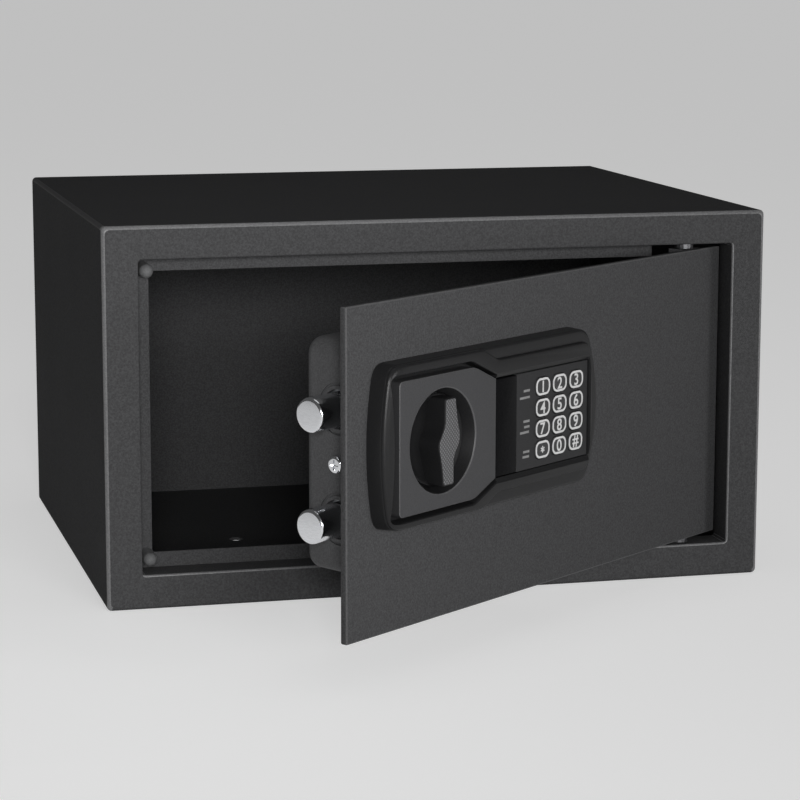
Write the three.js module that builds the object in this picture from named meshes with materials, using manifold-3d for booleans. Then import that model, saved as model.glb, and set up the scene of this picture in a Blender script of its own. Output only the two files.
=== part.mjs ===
// Electronic safe: a welded steel cabinet with a hinged door that carries a keypad lock,
// a turn knob, two round bolts and the bolt work behind a pressed cover.
// Millimetres, +Z up. The origin is the middle of the cabinet's underside and the front faces -Y.
// Inside the cabinet group y is measured back from the front face of the cabinet.
// The door is drawn shut, in the cabinet's own coordinates, and its group is then swung open.
import * as THREE from 'three';
import { mergeVertices } from 'three/addons/utils/BufferGeometryUtils.js';
import Module from 'manifold-3d';

const wasm = await Module();
wasm.setup();

// Cabinet
const bodyWidth = 430;
const bodyDepth = 350;
const bodyHeight = 240;
const sheetThickness = 2;
const bodyCorner = 3;
const skirtDepth = 6;
const frameLeft = 22.5;
const frameRight = 22;
const frameTop = 21;
const frameBottom = 22;
const openingCorner = 2;
const openingBreak = 1.2;
const lipDepth = 22;
const lipThickness = 2;
const anchorHole = 10;
const anchorSpacing = 200;

// Door stop and its rubber bumpers
const stopWidth = 9.5;
const stopThickness = 2;
const stopEndToPivot = 18;
const bumperDiameter = 8.8;
const bumperInset = 6;
const bumperDrop = 8;
const bumperGap = 0.5;
const bumperFlare = 0.4;
const bumperFlareLength = 2;

// Door and hinge
const doorOpenAngle = THREE.MathUtils.degToRad(37);
const doorThickness = 4.5;
const doorGapFree = 2;
const doorGapHinge = 3.3;
const doorGapTop = 3.5;
const doorGapBottom = 4.5;
const doorEdgeBreak = 0.8;
const pivotToJamb = 29;
const pivotSetback = 11;
const hingePin = 8;
const washerDiameter = 12;
const hingeBlockWidth = 16;
const hingeBlockDepth = 12.5;
const hingeBlockHeight = 26;
const pinInBlock = 20;
const pinPastLip = 0.6;

// Clearances: between pieces that touch, and round pieces that turn or slide
const seat = 0.3;
const running = 0.4;

// Lock housing on the front of the door
const lockHeight = 133;
const housingFromFreeEdge = 17;
const housingWidth = 209.3;
const housingHeight = 94.6;
const housingAboveLock = 1.3;
const housingBowLeft = 4;
const housingBowRight = 7;
const housingCorner = 9;
const housingDraft = 0.6;
const housingEdgeBreak = 1.2;
const shoulderHeight = 10.8;
const rimHeight = 13.5;
const rimInset = 0.2;
const rimEdgeBreak = 0.8;
const rimPastKeypad = 4;
const rimEndBow = 2.6;
const rimEndCorner = 6;
const rimStepPastChamfer = 7.3;
const rimStepDrop = 7.2;
const rimStepLength = 14;
const pocketFloor = 4;
const moatLeft = 8.2;
const moatBow = 2.9;
const moatAbove = 3.8;
const moatBelow = 2.6;
const moatAtChamfer = 1.8;
const moatCorner = 5;
const dialWidth = 89.4;
const dialHeight = 77;
const dialFromHousing = 14.5;
const dialCorner = 3;
const dialChamferLength = 20.2;
const dialChamferDrop = 9.3;
const dialFront = 12.3;
const dialEdgeBreak = 0.5;
const windowWidth = 20;
const keypadWidth = 72;
const keypadHeight = 58;
const keypadFront = 12;
const keypadEdgeGap = 0.6;
const keypadBevel = 3.4;
const keypadEndBevel = 1.6;
const panelThickness = 2.4;
const panelFrameWall = 1.6;
const panelEdgeBreak = 0.3;
const boardThickness = 1.6;
const cableHoleDiameter = 12;
const ledDiameter = 3;
const ledDrop = 10;
const ledSpacing = 8;
const ledFlange = 0.4;
const ledFlangeHeight = 0.8;
const ledBehindPane = 2.6;

// Keys
const keyColumns = 3;
const keyRows = 4;
const keyPitchX = 17;
const keyPitchZ = 12.6;
const keyWidth = 14.6;
const keyHeight = 10.9;
const keyCorner = 4.4;
const keyProud = 0.8;
const keyTravel = 0.8;
const keyFromKeypadEnd = 12.9;
const keyFlangeMargin = 0.65;
const keyFlangeThickness = 1;
const keyClearance = 0.35;
const keyEdgeInset = 0.9;
const keyEdgeDepth = 0.45;
const keyStemDiameter = 4;

// Knob
const knobFromFreeEdge = 71;
const wellDiameter = 60.5;
const knobDiameter = 53;
const knobFloor = 0.6;
const knobRimHeight = 5.4;
const knobRimWidth = 2;
const dishFloor = 2;
const dishSlope = 16;
const gripHeight = 16.2;
const gripLength = 50;
const gripEndLead = 6;
const gripEndTrail = 4.2;
const gripMiddleHalf = 10.6;
const gripShoulder = 13;
const gripEdgeBreak = 0.6;
const spindleInKnob = 5;
const spindleDiameter = 8;
const bushDiameter = 15.4;
const bushFlange = 22;
const bushFlangeThickness = 2.1;

// Bolts and bolt work behind the door
const boltDiameter = 20;
const boltSpacing = 63.5;
const boltMidHeight = 119;
const boltAxisDepth = 35;
const boltEndInset = 9.5;
const boltChamfer = 1.5;
const boltLength = 78;
const boltThrow = 15;
const carriageThickness = 2.5;
const carriageOverhang = 12;
const carriageWebDepth = 14;
const carriageWebWidth = 24;
const camDiameter = 32;
const camThickness = 3;
const camDepth = 8;
const camPinDiameter = 6;
const slotClearance = 0.65;
const camPinPast = 1.5;
const guideThickness = 2.5;
const guideFoot = 12;

// Lock cover on the back of the door
const coverInset = 34.5;
const coverWidth = 190;
const coverBelowBolts = 66;
const coverAboveBolts = 72.5;
const coverDepth = 61.5;
const coverWall = 2;
const coverCorner = 12;
const coverRearRadius = 7;
const coverDraft = 1.6;
const collarWidth = 2.5;
const collarHeight = 1;
const insideGap = 0.5;
const coverScrewDiameter = 10.5;
const coverScrewShank = 4;
const coverScrewDepth = 36;
const coverScrewHead = 2.6;
const coverScrewRound = 1.8;
const coverScrewReach = 11;
const boltScrewDiameter = 9;
const boltScrewHead = 3;
const bracketHalf = 12;

// Batteries, boards, solenoid and reset button
const cellCount = 4;
const cellDiameter = 14.2;
const cellLength = 50.5;
const cellPitch = 15.3;
const cellNub = 5.5;
const cellNubHeight = 1;
const cellEdge = 0.6;
const batteryBoxFromHinge = 12;
const batteryBoxRise = 15;
const batteryBoxDepth = 19;
const batteryBoxWall = 1.6;
const springSpace = 3;
const contactThickness = 0.6;
const batteryLidMargin = 3;
const batteryLidThickness = 2.2;
const railWidth = 2.6;
const railLip = 1.8;
const railLipThickness = 1.2;
const lidRibCount = 5;
const lidRibPitch = 3.4;
const lidRibWidth = 1.4;
const lidRibHeight = 0.9;
const lidRibInset = 18;
const resetDiameter = 8;
const resetTravel = 2;
const resetProud = 2.4;
const resetFlangeMargin = 1.5;
const resetCollarMargin = 3;
const resetCollarHeight = 1;
const resetFromBatteryBox = 12;
const resetBelowTop = 28;
const resetStemInside = 5;
const boardBehindReset = 3;
const boardPostDiameter = 7;
const boardMargin = 6;
const boardPastReset = 14;
const boardBelowTop = 14;
const boardPostInset = 8;
const solenoidWidth = 22;
const solenoidDepth = 20;
const solenoidBore = 6.6;
const plungerDiameter = 6;
const plungerClear = 2.2;
const plungerLock = 4.3;
const plungerHeld = 13.5;
const plungerProud = 1.5;
const plungerSideGap = 0.6;
const plungerFromTail = 2.3;
const plungerHeadroom = 2;
const solenoidFoot = 12;

// Places worked out from the sizes above
const openingLeft = -bodyWidth / 2 + frameLeft;
const openingRight = bodyWidth / 2 - frameRight;
const openingBottom = frameBottom;
const openingTop = bodyHeight - frameTop;
const pivotX = openingRight - pivotToJamb;
const doorLeft = openingLeft + doorGapFree;
const doorRight = openingRight - doorGapHinge;
const doorBottom = openingBottom + doorGapBottom;
const doorTop = openingTop - doorGapTop;
const knobX = doorLeft + knobFromFreeEdge;
const housingLeft = doorLeft + housingFromFreeEdge;
const housingRight = housingLeft + housingWidth;
const housingBottom = lockHeight + housingAboveLock - housingHeight / 2;
const housingTop = housingBottom + housingHeight;
const dialLeft = housingLeft + dialFromHousing;
const dialRight = dialLeft + dialWidth;
const dialBottom = lockHeight - dialHeight / 2;
const dialTop = lockHeight + dialHeight / 2;
const windowLeft = dialRight + seat;
const windowRight = windowLeft + windowWidth;
const keypadLeft = windowRight + seat;
const keypadRight = keypadLeft + keypadWidth;
const keypadBottom = lockHeight - keypadHeight / 2;
const keypadTop = lockHeight + keypadHeight / 2;
const boltHeights = [boltMidHeight + boltSpacing / 2, boltMidHeight - boltSpacing / 2];
const boltEnd = doorLeft + boltEndInset;
const boltTail = boltEnd + boltLength;
const carriageX = boltTail + seat;
const coverLeft = doorLeft + coverInset;
const coverRight = coverLeft + coverWidth;
const coverBottom = boltMidHeight - coverBelowBolts;
const coverTop = boltMidHeight + coverAboveBolts;
const coverFront = doorThickness + seat;
const batteryBoxHeight = cellCount * cellPitch + 2 * batteryBoxWall;
const batteryBoxLength = cellLength + 2 * springSpace + 2 * batteryBoxWall;
const batteryBoxRight = coverRight - batteryBoxFromHinge;
const batteryBoxLeft = batteryBoxRight - batteryBoxLength;
const batteryBoxBottom = coverBottom + batteryBoxRise;
const batteryBoxTop = batteryBoxBottom + batteryBoxHeight;
const batteryBoxRear = coverDepth - coverWall - seat;
const batteryBoxFront = batteryBoxRear - batteryBoxDepth;
const cableX = keypadLeft + keypadWidth / 2;
const boardRear = -pocketFloor - seat;
const boardFront = boardRear - boardThickness;
const panelRear = boardFront - seat;
const keypadFaceRear = -keypadFront + panelThickness;
const ledHeights = [keypadTop - ledDrop, keypadTop - ledDrop - ledSpacing];
const resetX = batteryBoxLeft + resetFromBatteryBox;
const resetZ = coverTop - resetBelowTop;
const resetStemFront = coverDepth - coverWall - resetTravel - resetStemInside;
const controlBoardRear = resetStemFront - boardBehindReset;
const controlBoardRight = batteryBoxRight - boardMargin;

// The cam's pin stands at the upper right while the bolts are in, and at the upper left once they are out
const camPinRadius = boltThrow / Math.SQRT2;
const camPinX = knobX + boltThrow / 2;
const camPinZ = lockHeight + boltThrow / 2;

// The solenoid's plunger hangs just above the carriage and drops in front of its tail
const plungerTravel = plungerClear + plungerLock;
const solenoidBottom = boltHeights[0] + carriageOverhang + plungerClear + plungerProud;
const solenoidHeight = plungerHeld + plungerTravel;
const solenoidX = carriageX - plungerFromTail - plungerDiameter / 2;
const plungerY = carriageWebDepth + carriageThickness + plungerDiameter / 2 + plungerSideGap;
const plungerTop = solenoidBottom + solenoidHeight - plungerHeadroom;

// Finishes
function finish(name, color, roughness, metalness) {
  const material = new THREE.MeshStandardMaterial({ color, roughness, metalness });
  material.name = name;
  return material;
}

const charcoalPaint = ['charcoal_paint', 0x3e3f41, 0.62, 0.1];
const blackPlastic = ['black_plastic', 0x17181a, 0.42, 0];
const greyPlastic = ['grey_plastic', 0x47484a, 0.5, 0];
const smokedPlastic = ['smoked_plastic', 0x111214, 0.15, 0];
const brightSteel = ['bright_steel', 0xd8d9dc, 0.16, 1];
const plainSteel = ['plain_steel', 0x9b9ea3, 0.38, 1];
const rubberGrey = ['rubber_grey', 0x4a4b4d, 0.75, 0];
const boardGreen = ['board_green', 0x1e5a3a, 0.5, 0];
const redPlastic = ['red_plastic', 0xb01c1c, 0.4, 0];
const greenPlastic = ['green_plastic', 0x1f9a3c, 0.4, 0];
const cellWrap = ['cell_wrap', 0x2c3036, 0.35, 0.2];
const brass = ['brass', 0xb8934a, 0.3, 1];

// Basic solids
function box(x0, x1, y0, y1, z0, z1) {
  const geometry = new THREE.BoxGeometry(x1 - x0, y1 - y0, z1 - z0);
  return geometry.translate((x0 + x1) / 2, (y0 + y1) / 2, (z0 + z1) / 2);
}

function cylinderAlongY(x, z, diameter, y0, y1, sides = 24) {
  const geometry = new THREE.CylinderGeometry(diameter / 2, diameter / 2, Math.abs(y1 - y0), sides);
  return geometry.translate(x, (y0 + y1) / 2, z);
}

function coneAlongY(x, z, diameterFront, diameterRear, y0, y1, sides = 40) {
  const geometry = new THREE.CylinderGeometry(diameterRear / 2, diameterFront / 2, y1 - y0, sides);
  return geometry.translate(x, (y0 + y1) / 2, z);
}

function cylinderAlongX(y, z, diameter, x0, x1, sides = 24) {
  const geometry = new THREE.CylinderGeometry(diameter / 2, diameter / 2, Math.abs(x1 - x0), sides);
  return geometry.rotateZ(-Math.PI / 2).translate((x0 + x1) / 2, y, z);
}

function cylinderAlongZ(x, y, diameter, z0, z1, sides = 24) {
  const geometry = new THREE.CylinderGeometry(diameter / 2, diameter / 2, Math.abs(z1 - z0), sides);
  return geometry.rotateX(Math.PI / 2).translate(x, y, (z0 + z1) / 2);
}

// A profile of [radius, height] pairs turned about the Y axis
function turned(profile, sides) {
  return new THREE.LatheGeometry(profile.map(([radius, height]) => new THREE.Vector2(radius, height)), sides);
}

// The points round a shape, each one once
function outlinePoints(shape, curveSegments) {
  const points = shape.getPoints(curveSegments);
  return points.filter((point, i) => point.distanceTo(points[(i + 1) % points.length]) > 1e-4);
}

// A shape drawn in x and z, made solid between two depths
function slab(shape, y0, y1, bevel = 0, curveSegments = 5) {
  const geometry = new THREE.ExtrudeGeometry(new THREE.Shape(outlinePoints(shape, curveSegments)), {
    depth: y1 - y0 - 2 * bevel,
    bevelEnabled: bevel > 0,
    bevelThickness: bevel,
    bevelSize: bevel,
    bevelOffset: -bevel,
    bevelSegments: 1,
  });
  return geometry.rotateX(Math.PI / 2).translate(0, y1 - bevel, 0);
}

function roundedRectangle(x0, x1, z0, z1, radius) {
  const shape = new THREE.Shape();
  shape.moveTo(x0 + radius, z0);
  shape.lineTo(x1 - radius, z0);
  shape.absarc(x1 - radius, z0 + radius, radius, -Math.PI / 2, 0);
  shape.lineTo(x1, z1 - radius);
  shape.absarc(x1 - radius, z1 - radius, radius, 0, Math.PI / 2);
  shape.lineTo(x0 + radius, z1);
  shape.absarc(x0 + radius, z1 - radius, radius, Math.PI / 2, Math.PI);
  shape.lineTo(x0, z0 + radius);
  shape.absarc(x0 + radius, z0 + radius, radius, Math.PI, Math.PI * 1.5);
  return shape;
}

// How far a corner's curve leans in so that it runs on from a bowed end without a kink
function cornerLean(bow, corner, z0, z1) {
  return (2 * bow * corner) / ((z1 - z0) / 2 - corner);
}

// A rectangle with rounded corners and bowed left and right ends
function bowedRectangle(x0, x1, z0, z1, bowLeft, bowRight, corner) {
  const middle = (z0 + z1) / 2;
  const leanLeft = cornerLean(bowLeft, corner, z0, z1);
  const leanRight = cornerLean(bowRight, corner, z0, z1);
  const left = x0 + bowLeft;
  const right = x1 - bowRight;
  const shape = new THREE.Shape();
  shape.moveTo(left + leanLeft + corner, z0);
  shape.lineTo(right - leanRight - corner, z0);
  shape.quadraticCurveTo(right - leanRight, z0, right, z0 + corner);
  shape.quadraticCurveTo(x1 + bowRight, middle, right, z1 - corner);
  shape.quadraticCurveTo(right - leanRight, z1, right - leanRight - corner, z1);
  shape.lineTo(left + leanLeft + corner, z1);
  shape.quadraticCurveTo(left + leanLeft, z1, left, z1 - corner);
  shape.quadraticCurveTo(x0 - bowLeft, middle, left, z0 + corner);
  shape.quadraticCurveTo(left + leanLeft, z0, left + leanLeft + corner, z0);
  return shape;
}

// A solid through outlines that lie one behind the other, each [depth, shape] with equal point counts
function loft(sections, curveSegments = 6) {
  const rings = sections.map(([depth, shape]) => ({ depth, points: outlinePoints(shape, curveSegments) }));
  const count = rings[0].points.length;
  const positions = [];
  for (const { depth, points } of rings) {
    for (const point of points) {
      positions.push(point.x, depth, point.y);
    }
  }
  const index = [];
  for (let ring = 0; ring < rings.length - 1; ring += 1) {
    for (let i = 0; i < count; i += 1) {
      const next = (i + 1) % count;
      const a = ring * count + i;
      const b = ring * count + next;
      index.push(a, b + count, b, a, a + count, b + count);
    }
  }
  const last = (rings.length - 1) * count;
  for (const [a, b, c] of THREE.ShapeUtils.triangulateShape(rings[0].points, [])) {
    index.push(a, b, c);
  }
  for (const [a, b, c] of THREE.ShapeUtils.triangulateShape(rings[rings.length - 1].points, [])) {
    index.push(last + c, last + b, last + a);
  }
  const geometry = new THREE.BufferGeometry();
  geometry.setAttribute('position', new THREE.Float32BufferAttribute(positions, 3));
  geometry.setIndex(index);
  return geometry;
}

// Joining and cutting
function toSolid(source) {
  if (source instanceof wasm.Manifold) {
    return source;
  }
  const geometry = source.clone();
  geometry.deleteAttribute('normal');
  geometry.deleteAttribute('uv');
  const merged = mergeVertices(geometry, 1e-4);
  return new wasm.Manifold(new wasm.Mesh({
    numProp: 3,
    vertProperties: new Float32Array(merged.attributes.position.array),
    triVerts: new Uint32Array(merged.index.array),
  }));
}

function join(first, ...others) {
  return others.reduce((whole, other) => whole.add(toSolid(other)), toSolid(first));
}

function cut(first, ...others) {
  return others.reduce((whole, other) => whole.subtract(toSolid(other)), toSolid(first));
}

function toGeometry(source) {
  if (!(source instanceof wasm.Manifold)) {
    return source;
  }
  const mesh = source.getMesh();
  const geometry = new THREE.BufferGeometry();
  geometry.setAttribute('position', new THREE.Float32BufferAttribute(mesh.vertProperties, 3));
  geometry.setIndex(new THREE.Uint32BufferAttribute(mesh.triVerts, 1));
  geometry.computeVertexNormals();
  return geometry;
}

function addPiece(group, name, source, finishValues) {
  const mesh = new THREE.Mesh(toGeometry(source), finish(...finishValues));
  mesh.name = name;
  group.add(mesh);
  return mesh;
}

// Cabinet pieces
function bodyOutline(inset) {
  const half = bodyWidth / 2 - inset;
  const radius = Math.max(bodyCorner - inset, 0.5);
  return roundedRectangle(-half, half, inset, bodyHeight - inset, radius);
}

function openingOutline(grow) {
  return roundedRectangle(
    openingLeft - grow, openingRight + grow, openingBottom - grow, openingTop + grow, openingCorner + grow,
  );
}

function makeFrontFrame() {
  const roundSteps = 3;
  const sections = [];
  for (let i = 0; i <= roundSteps; i += 1) {
    const turn = (i / roundSteps) * (Math.PI / 2);
    sections.push([bodyCorner * (1 - Math.cos(turn)), bodyCorner * (1 - Math.sin(turn))]);
  }
  sections.push([skirtDepth, 0]);
  const skin = loft(sections.map(([depth, inset]) => [depth, frameOutline(inset)]), 1);
  const hollow = slab(bodyOutline(sheetThickness), sheetThickness, skirtDepth + 1, 0, 1);
  const lips = slab(openingOutline(lipThickness), sheetThickness / 2, lipDepth, 0, 1);
  const opening = slab(openingOutline(0), -1, lipDepth + 1, 0, 1);
  const brokenEdge = loft([[-0.01, openingOutline(openingBreak)], [openingBreak, openingOutline(0)]], 1);
  const pinHole = cylinderAlongZ(
    pivotX, pivotSetback, hingePin + 2 * running,
    openingBottom - lipThickness - 1, openingTop + lipThickness + 1, 12,
  );
  return cut(join(cut(skin, hollow), lips), opening, brokenEdge, pinHole);
}

// The frame's outline keeps its corner radius while it shrinks round the front edge
function frameOutline(inset) {
  const half = bodyWidth / 2 - inset;
  return roundedRectangle(-half, half, inset, bodyHeight - inset, bodyCorner);
}

function makeBodyWrap() {
  const tube = cut(
    slab(bodyOutline(0), skirtDepth, bodyDepth - sheetThickness, 0, 1),
    slab(bodyOutline(sheetThickness), skirtDepth - 1, bodyDepth, 0, 1),
  );
  const holes = [-1, 1].map((side) => cylinderAlongZ(
    (side * anchorSpacing) / 2, bodyDepth / 2, anchorHole, -1, sheetThickness + 1, 12,
  ));
  return cut(tube, ...holes);
}

function makeBackPanel() {
  return slab(bodyOutline(0), bodyDepth - sheetThickness, bodyDepth, 0, 1);
}

function makeDoorStop() {
  const endX = pivotX - stopEndToPivot;
  const outer = box(
    openingLeft - lipThickness, endX, lipDepth, lipDepth + stopThickness,
    openingBottom - lipThickness, openingTop + lipThickness,
  );
  const inner = box(
    openingLeft + stopWidth, endX + 1, lipDepth - 1, lipDepth + stopThickness + 1,
    openingBottom + stopWidth, openingTop - stopWidth,
  );
  return cut(outer, inner);
}

function makeBumper(z) {
  const radius = bumperDiameter / 2;
  const length = lipDepth - doorThickness - bumperGap;
  const domeSteps = 5;
  const profile = [[0, 0], [radius + bumperFlare, 0], [radius, bumperFlareLength]];
  for (let i = 0; i <= domeSteps; i += 1) {
    const turn = (i / domeSteps) * (Math.PI / 2);
    profile.push([radius * Math.cos(turn), length - radius + radius * Math.sin(turn)]);
  }
  profile[profile.length - 1][0] = 0;
  return turned(profile, 12).rotateX(Math.PI).translate(openingLeft + bumperInset, lipDepth, z);
}

function makeWasher(z0, z1) {
  return cut(
    cylinderAlongZ(pivotX, pivotSetback, washerDiameter, z0, z1, 16),
    cylinderAlongZ(pivotX, pivotSetback, hingePin + 2 * running, z0 - 1, z1 + 1, 12),
  );
}

// Door plate and hinge
function makeDoorPanel() {
  const plate = slab(
    roundedRectangle(doorLeft, doorRight, doorBottom, doorTop, 1), 0, doorThickness, doorEdgeBreak, 1,
  );
  const spindleHole = cylinderAlongY(knobX, lockHeight, bushDiameter + 2 * seat, -1, doorThickness + 1, 16);
  const cableHole = cylinderAlongY(cableX, lockHeight, cableHoleDiameter, -1, doorThickness + 1, 10);
  return cut(plate, spindleHole, cableHole);
}

function makeHingeBlock(side) {
  const end = side > 0 ? doorTop : doorBottom;
  const z0 = side > 0 ? end - hingeBlockHeight : end;
  const block = box(
    pivotX - hingeBlockWidth / 2, pivotX + hingeBlockWidth / 2,
    doorThickness + seat, doorThickness + seat + hingeBlockDepth, z0, z0 + hingeBlockHeight,
  );
  const bore = cylinderAlongZ(
    pivotX, pivotSetback, hingePin + 2 * seat, end - side * pinInBlock, end + side * 1, 12,
  );
  return cut(block, bore);
}

function makeHingePin(side) {
  const end = side > 0 ? doorTop : doorBottom;
  const lipFace = side > 0 ? openingTop + lipThickness : openingBottom - lipThickness;
  const inner = end - side * (pinInBlock - seat);
  const outer = lipFace + side * pinPastLip;
  return cylinderAlongZ(pivotX, pivotSetback, hingePin, inner, outer, 12);
}

// Lock housing
function housingOutline(inset) {
  return bowedRectangle(
    housingLeft + inset, housingRight - inset, housingBottom + inset, housingTop - inset,
    housingBowLeft, housingBowRight, housingCorner,
  );
}

// The raised rim follows the housing's left end and steps in beside the keypad
function rimOutline() {
  const x0 = housingLeft + housingDraft + rimInset;
  const x1 = keypadRight + rimPastKeypad;
  const z0 = housingBottom + housingDraft + rimInset;
  const z1 = housingTop - housingDraft - rimInset;
  const middle = (z0 + z1) / 2;
  const stepX = dialRight - dialChamferLength + rimStepPastChamfer;
  const lean = cornerLean(housingBowLeft, housingCorner, z0, z1);
  const left = x0 + housingBowLeft;
  const right = x1 - rimEndBow;
  const low = z0 + rimStepDrop;
  const high = z1 - rimStepDrop;
  const endLean = cornerLean(rimEndBow, rimEndCorner, low, high);
  const shape = new THREE.Shape();
  shape.moveTo(left + lean + housingCorner, z0);
  shape.lineTo(stepX, z0);
  shape.lineTo(stepX + rimStepLength, low);
  shape.lineTo(right - endLean - rimEndCorner, low);
  shape.quadraticCurveTo(right - endLean, low, right, low + rimEndCorner);
  shape.quadraticCurveTo(x1 + rimEndBow, middle, right, high - rimEndCorner);
  shape.quadraticCurveTo(right - endLean, high, right - endLean - rimEndCorner, high);
  shape.lineTo(stepX + rimStepLength, high);
  shape.lineTo(stepX, z1);
  shape.lineTo(left + lean + housingCorner, z1);
  shape.quadraticCurveTo(left + lean, z1, left, z1 - housingCorner);
  shape.quadraticCurveTo(x0 - housingBowLeft, middle, left, z0 + housingCorner);
  shape.quadraticCurveTo(left + lean, z0, left + lean + housingCorner, z0);
  return shape;
}

// A line beside the dial plate's cut-off corner, grow away from it: where it starts on a side that lies
// beside away from the plate, and how far it has dropped at the plate's right edge
function chamferLine(grow, beside) {
  const steep = dialChamferDrop / dialChamferLength;
  const rise = grow * Math.hypot(1, steep);
  return [dialRight - dialChamferLength - (beside - rise) / steep, dialChamferDrop - rise];
}

// The dial plate's outline: rounded on the left, its right corners cut off
function dialOutline() {
  const [cornerX, drop] = chamferLine(0, 0);
  const radius = dialCorner;
  const shape = new THREE.Shape();
  shape.moveTo(dialLeft + radius, dialBottom);
  shape.lineTo(cornerX, dialBottom);
  shape.lineTo(dialRight, dialBottom + drop);
  shape.lineTo(dialRight, dialTop - drop);
  shape.lineTo(cornerX, dialTop);
  shape.lineTo(dialLeft + radius, dialTop);
  shape.absarc(dialLeft + radius, dialTop - radius, radius, Math.PI / 2, Math.PI);
  shape.lineTo(dialLeft, dialBottom + radius);
  shape.absarc(dialLeft + radius, dialBottom + radius, radius, Math.PI, Math.PI * 1.5);
  return shape;
}

// The moat round the dial plate: its left side bows in towards the plate
function moatOutline() {
  const [lowX, drop] = chamferLine(moatAtChamfer, moatBelow);
  const highX = chamferLine(moatAtChamfer, moatAbove)[0];
  const x0 = dialLeft - moatLeft;
  const x1 = dialRight + seat;
  const z0 = dialBottom - moatBelow;
  const z1 = dialTop + moatAbove;
  const shape = new THREE.Shape();
  shape.moveTo(x0 + moatCorner, z0);
  shape.lineTo(lowX, z0);
  shape.lineTo(x1, dialBottom + drop);
  shape.lineTo(x1, dialTop - drop);
  shape.lineTo(highX, z1);
  shape.lineTo(x0 + moatCorner, z1);
  shape.quadraticCurveTo(x0, z1, x0, z1 - moatCorner);
  shape.quadraticCurveTo(x0 + 2 * moatBow, (z0 + z1) / 2, x0, z0 + moatCorner);
  shape.quadraticCurveTo(x0, z0, x0 + moatCorner, z0);
  return shape;
}

// The pocket for the keypad and the window, from a place beside the dial plate's edge
function keypadOutline(left, end, beside, radius) {
  return roundedRectangle(left, keypadRight + end, keypadBottom - beside, keypadTop + beside, radius);
}

function makeHousing() {
  const body = loft([
    [-shoulderHeight, housingOutline(housingDraft + housingEdgeBreak)],
    [-shoulderHeight + housingEdgeBreak, housingOutline(housingDraft)],
    [-seat, housingOutline(0)],
  ], 4);
  const rim = slab(rimOutline(), -rimHeight, -shoulderHeight + housingEdgeBreak, rimEdgeBreak, 4);
  const moat = slab(moatOutline(), -rimHeight - 1, -pocketFloor, 0, 4);
  const keypadPocket = slab(
    keypadOutline(dialRight, keypadEdgeGap, keypadEdgeGap, 1), -rimHeight - 1, -pocketFloor, 0, 1,
  );
  const bevelLeft = dialRight - keypadBevel;
  const bevel = loft([
    [-rimHeight - 0.01, keypadOutline(bevelLeft, keypadEndBevel, keypadBevel, 2)],
    [-keypadFront + 0.4, keypadOutline(bevelLeft, keypadEdgeGap, keypadEdgeGap, 1)],
  ], 1);
  const knobHole = cylinderAlongY(knobX, lockHeight, knobDiameter + 2 * running, -rimHeight, 1, 32);
  const cableHole = cylinderAlongY(cableX, lockHeight, cableHoleDiameter, -rimHeight, 1, 10);
  return cut(join(body, rim), moat, keypadPocket, bevel, knobHole, cableHole);
}

function makeDialPlate() {
  const plate = slab(dialOutline(), -dialFront, -pocketFloor - seat, dialEdgeBreak, 2);
  const well = coneAlongY(
    knobX, lockHeight, wellDiameter, knobDiameter + 2 * running, -dialFront, -pocketFloor - seat, 32,
  );
  const through = cylinderAlongY(knobX, lockHeight, knobDiameter + 2 * running, -dialFront - 1, 0, 32);
  const mouth = cylinderAlongY(knobX, lockHeight, wellDiameter, -dialFront - 1, -dialFront + 0.01, 32);
  return cut(plate, join(well, through, mouth));
}

function makeStatusWindow() {
  const pane = slab(roundedRectangle(
    windowLeft, windowRight, keypadBottom + seat, keypadTop - seat, 0.6,
  ), -keypadFront, panelRear, panelEdgeBreak, 1);
  const ledSpace = box(
    windowLeft + ledDiameter, windowRight - ledDiameter, -keypadFront + 2, 0,
    ledHeights[1] - ledSpacing / 2, ledHeights[0] + ledSpacing / 2,
  );
  return cut(pane, ledSpace);
}

function makeLed(z) {
  const x = (windowLeft + windowRight) / 2;
  const radius = ledDiameter / 2;
  const length = panelRear + keypadFront - ledBehindPane;
  const profile = [
    [0, 0], [radius + ledFlange, 0], [radius + ledFlange, ledFlangeHeight], [radius, ledFlangeHeight],
    [radius, length - radius * 0.67], [radius * 0.67, length - radius * 0.2], [0, length],
  ];
  return turned(profile, 8).rotateX(Math.PI).translate(x, panelRear, z);
}

function keyCentre(column, row) {
  const x = keypadRight - keyFromKeypadEnd - (keyColumns - 1 - column) * keyPitchX;
  const z = lockHeight + ((keyRows - 1) / 2 - row) * keyPitchZ;
  return [x, z];
}

function keyOutline(x, z, grow) {
  return roundedRectangle(
    x - keyWidth / 2 - grow, x + keyWidth / 2 + grow, z - keyHeight / 2 - grow, z + keyHeight / 2 + grow,
    keyCorner + grow,
  );
}

function makeKeypadPanel() {
  const panel = slab(
    roundedRectangle(keypadLeft, keypadRight, keypadBottom, keypadTop, 0.8),
    -keypadFront, keypadFaceRear, panelEdgeBreak, 1,
  );
  const holes = [];
  for (let row = 0; row < keyRows; row += 1) {
    for (let column = 0; column < keyColumns; column += 1) {
      const [x, z] = keyCentre(column, row);
      holes.push(slab(keyOutline(x, z, keyClearance), -keypadFront - 1, keypadFaceRear + 1, 0, 2));
    }
  }
  const keysLeft = keyCentre(0, 0)[0] - keyFromKeypadEnd + panelFrameWall;
  const frame = cut(
    box(
      keypadLeft + seat, keypadRight - seat, keypadFaceRear - 0.2, panelRear,
      keypadBottom + seat, keypadTop - seat,
    ),
    box(
      keysLeft, keypadRight - seat - panelFrameWall, keypadFaceRear - 1, 0,
      keypadBottom + panelFrameWall, keypadTop - panelFrameWall,
    ),
  );
  return join(cut(panel, ...holes), frame);
}

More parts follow.
